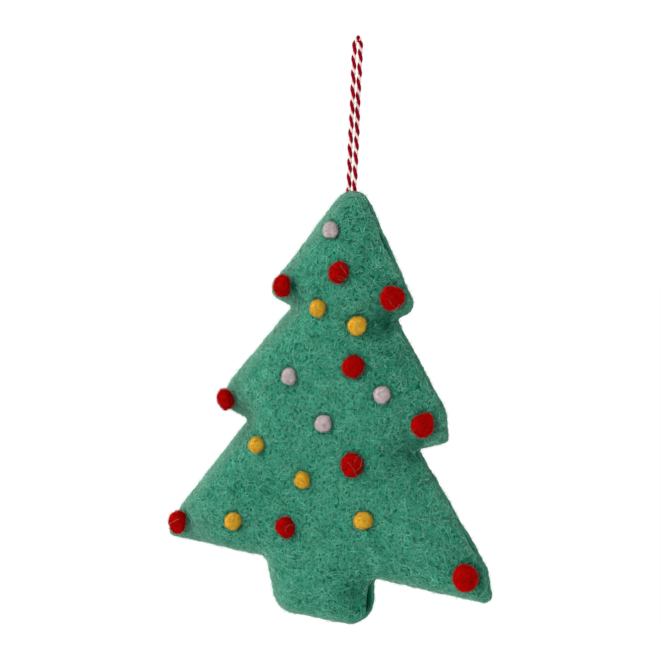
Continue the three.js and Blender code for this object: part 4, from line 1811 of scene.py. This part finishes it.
@dataclass
class TwineLoop:
    """A loop of two-ply red and white twine that leaves the crown, and its buried knot."""

    tree_shift: float
    crown_top: float
    diameter: float = 1.4 * MM
    leg_gap: float = 0.35 * MM
    eye_radius: float = 2.8 * MM
    eye_turn: float = math.radians(96.0)
    lay_length: float = 4.2 * MM
    step: float = 0.2 * MM
    sunk: float = 1.3 * MM
    # Radius of each yarn and of the helix that its middle runs on, in twine diameters.
    ply_shares: tuple[float, float] = (0.38, 0.23)
    helix_shares: tuple[float, float] = (0.17, 0.26)
    # How much each yarn's radius wavers, along what length, and the corners of its section.
    ply_waver: float = 0.04
    waver_length: float = 0.9 * MM
    ply_sides: int = 12
    # The knot: its drop below the crown, its tails, and its coil's size and turn.
    knot_drop: float = 14.0 * MM
    tail_gap: float = 0.4 * MM
    tail_foot: float = 4.5 * MM
    coil: tuple[float, float, float] = (1.55 * MM, 1.35 * MM, 4.0 * MM)
    coil_turn: float = 5.0 * math.pi
    # Right leg: offset to the right and to the back of the middle between the legs, and drop.
    leg_route: tuple[tuple[float, float, float], ...] = (
        (0.84 * MM, 0.30 * MM, 32.0 * MM),
        (0.70 * MM, 0.55 * MM, 25.0 * MM),
        (0.51 * MM, 0.82 * MM, 18.0 * MM),
        (0.37 * MM, 1.15 * MM, 12.2 * MM),
        (0.17 * MM, 1.75 * MM, 6.9 * MM),
    )
    # How far over the crown the legs still run straight.
    straight: float = 0.7 * MM

    def build(self) -> None:
        materials = [YARN[ply].material() for ply in Ply]
        route = self._route()
        loop = self._twine("twine_loop", route, materials)
        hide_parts("loop_bend", "loop_leg_left", "loop_leg_right")
        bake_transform(loop)
        knot = self._twine("twine_knot", self._knot_route(), materials)
        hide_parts("loop_knot")
        dress(knot, materials[0], "tree")

    def _route(self) -> Array:
        """The loop's middle line, up the right leg, round the eye and down the left.

        Returns:
            Its points.
        """
        foot = -self.crown_top
        eye_drop = self.eye_radius - self.diameter / 2
        leaves = foot - self.straight
        half = (self.diameter + self.leg_gap) / 2
        offsets = [(half, 0.0, foot + self.sunk), (half, 0.0, leaves), *self.leg_route]
        right = []
        for across, behind, drop in offsets:
            middle = self.tree_shift * min((drop - eye_drop) / (leaves - eye_drop), 1.0)
            right.append((middle, across, behind, -drop))
        up = [(m + a, b, z) for m, a, b, z in right]
        down = [(m - a, -b, z) for m, a, b, z in reversed(right)]
        bend = []
        for angle in np.linspace(0.0, math.pi, 9):
            out = self.eye_radius * math.cos(angle)
            height = self.eye_radius * math.sin(angle) - eye_drop
            bend.append((out * math.cos(self.eye_turn), out * math.sin(self.eye_turn), height))
        return smooth_route(np.array([*up, *bend, *down]), self.step)

    def _knot_route(self) -> Array:
        """The buried end: down one tail, round in an overhand knot and up the other.

        Returns:
            Its points.
        """
        half = (self.diameter + self.leg_gap) / 2
        top = self.crown_top - self.sunk - self.tail_gap
        middle = self.crown_top - self.knot_drop
        points = [(half, 0.0, top), (half, 0.0, middle + self.tail_foot)]
        across, behind, tall = self.coil
        for angle in np.linspace(0.0, self.coil_turn, 21):
            height = middle + tall / 2 - tall * angle / self.coil_turn
            points.append((across * math.cos(angle), behind * math.sin(angle), height))
        points += [
            (-half, 0.0, middle - 3.4 * MM),
            (-0.2 * MM, 0.1 * MM, middle - 1.0 * MM),
            (-0.2 * MM, -0.1 * MM, middle + 1.0 * MM),
            (-half, 0.0, middle + self.tail_foot),
            (-half, 0.0, top),
        ]
        return smooth_route(np.array(points) + (self.tree_shift, 0.0, 0.0), self.step)

    def _twine(self, name: str, route: Array, materials: list[Material]) -> Object:
        """Twists two yarns round a route.

        Args:
            name: the piece's name.
            route: the points down the middle.
            materials: the yarns' finishes in the order of Ply.

        Returns:
            The piece.
        """
        first, second = carried_frames(route)
        along = np.arange(len(route)) * self.step
        points, faces, finishes = [], [], []
        count = 0
        for ply in Ply:
            angle = ply.value * math.pi - 2.0 * math.pi * along / self.lay_length
            round_axis = first * np.cos(angle)[:, None] + second * np.sin(angle)[:, None]
            middle = route + self.diameter * self.helix_shares[ply.value] * round_axis
            uneven = 1.0 + self.ply_waver * np.sin(along / self.waver_length)
            radii = self.diameter * self.ply_shares[ply.value] * uneven
            made, walls = tube(middle, radii, self.ply_sides)
            points.append(made)
            faces += [[i + count for i in face] for face in walls]
            finishes += [ply.value] * len(walls)
            count += len(made)
        piece = mesh_object(name, np.vstack(points), faces)
        for material in materials:
            piece.data.materials.append(material)
        piece.data.polygons.foreach_set("material_index", finishes)
        return piece


# The studio

TREE_MIDDLE = (0.0, 0.0, -0.1)


@dataclass(frozen=True)
class Lamp:
    """A soft square lamp that faces the tree: its place, the side of its square and its watts."""

    name: str
    place: tuple[float, float, float]
    size: float
    power: float

    def add(self) -> None:
        """Puts the lamp in the scene."""
        data = bpy.data.lights.new(self.name, "AREA")
        data.size = self.size
        data.energy = self.power
        lamp = bpy.data.objects.new(self.name, data)
        aim = Vector(TREE_MIDDLE) - Vector(self.place)
        lamp.rotation_euler = aim.to_track_quat("-Z", "Y").to_euler()
        lamp.location = self.place
        bpy.context.scene.collection.objects.link(lamp)


@dataclass
class Studio:
    """The camera, soft light from the upper left, and a pale floor that melts into white."""

    eye: tuple[float, float, float] = (180.26 * MM, -396.425 * MM, -28.464 * MM)
    yaw: float = math.radians(24.66)
    pitch: float = math.radians(-7.23)
    roll: float = math.radians(4.45)
    focal_pixels: float = 1500.0
    image_pixels: float = 660.0
    sensor: float = 36.0
    floor_height: float = -0.55
    floor_half: float = 6.0
    floor_glow: float = 1.05
    # How much of the floor's glow the camera sees; the rest shows shadow.
    glow_share: float = 0.92
    sky: float = 0.5
    lamps: tuple[Lamp, ...] = (
        Lamp("key", (-0.95, -0.6, 0.4), 1.0, 11.8),
        Lamp("front", (0.25, -1.0, 0.1), 0.8, 2.1),
        Lamp("left_rim", (-0.75, 0.35, 0.3), 0.6, 3.2),
        Lamp("right_rim", (0.85, 0.35, 0.1), 0.6, 2.8),
        Lamp("bounce", (-0.1, -0.35, -0.9), 0.6, 1.8),
    )

    def build(self) -> None:
        """Sets the camera, the lamps, the sky and the floor."""
        bpy.context.scene.view_settings.view_transform = "Standard"
        self._camera()
        for lamp in self.lamps:
            lamp.add()
        self._sky()
        self._floor()

    def _camera(self) -> None:
        """Places the camera where the photograph was taken from."""
        data = bpy.data.cameras.new("camera")
        data.sensor_width = self.sensor
        data.lens = self.sensor * self.focal_pixels / self.image_pixels
        data.clip_start = 0.01
        camera = bpy.data.objects.new("camera", data)
        turn = (
            Matrix.Rotation(self.yaw, 4, "Z")
            @ Matrix.Rotation(math.pi / 2 + self.pitch, 4, "X")
            @ Matrix.Rotation(self.roll, 4, "Z")
        )
        camera.matrix_world = Matrix.Translation(self.eye) @ turn
        bpy.context.scene.collection.objects.link(camera)
        bpy.context.scene.camera = camera

    def _sky(self) -> None:
        """A dim even sky for light, seen as plain white."""
        world = bpy.data.worlds.new("sky")
        sheet = NodeSheet(world)
        lit, plain = (
            sheet.node("ShaderNodeBackground", None, {"Color": WHITE, "Strength": strength})
            for strength in (self.sky, 1.0)
        )
        mixed = sheet.mix_shaders(sheet.seen(), lit, plain)
        sheet.node("ShaderNodeOutputWorld", None, {"Surface": mixed})
        bpy.context.scene.world = world

    def _floor(self) -> None:
        """A wide pale floor far below, white to the camera but for a trace of shadow."""
        corners = self.floor_half * np.array([(-1, -1), (1, -1), (1, 1), (-1, 1)])
        points = np.column_stack([corners, np.full(4, self.floor_height)])
        floor = mesh_object("floor", points, [[0, 1, 2, 3]])
        sheet = NodeSheet.of_material("pale_floor")
        plain = sheet.node("ShaderNodeBsdfDiffuse", None, {"Color": (0.9, 0.9, 0.9, 1.0)})
        glow = {"Color": WHITE, "Strength": self.floor_glow}
        bright = sheet.node("ShaderNodeEmission", None, glow)
        mixed = sheet.mix_shaders(self.glow_share * sheet.seen(), plain, bright)
        sheet.node("ShaderNodeOutputMaterial", None, {"Surface": mixed})
        floor.data.materials.append(sheet.owner)


def main() -> None:
    """Builds every sub-assembly in order."""
    logging.basicConfig(level=logging.INFO, format="%(name)s %(message)s")
    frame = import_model()
    Studio().build()
    outline = TreeOutline()
    TwineLoop(tree_shift=outline.shift, crown_top=outline.crown_top()).build()
    nodes = frame["nodes"]
    seats = {name: BallSeat.of_node(nodes[name]) for name in sorted(nodes) if "_ball_" in name}
    pillow = FeltPillow(outline, tuple(seats.values()))
    pillow.build()
    balls = NeedledBalls(seats)
    balls.build()
    FeltNap(pillow, balls).build()


if __name__ == "__main__":
    main()
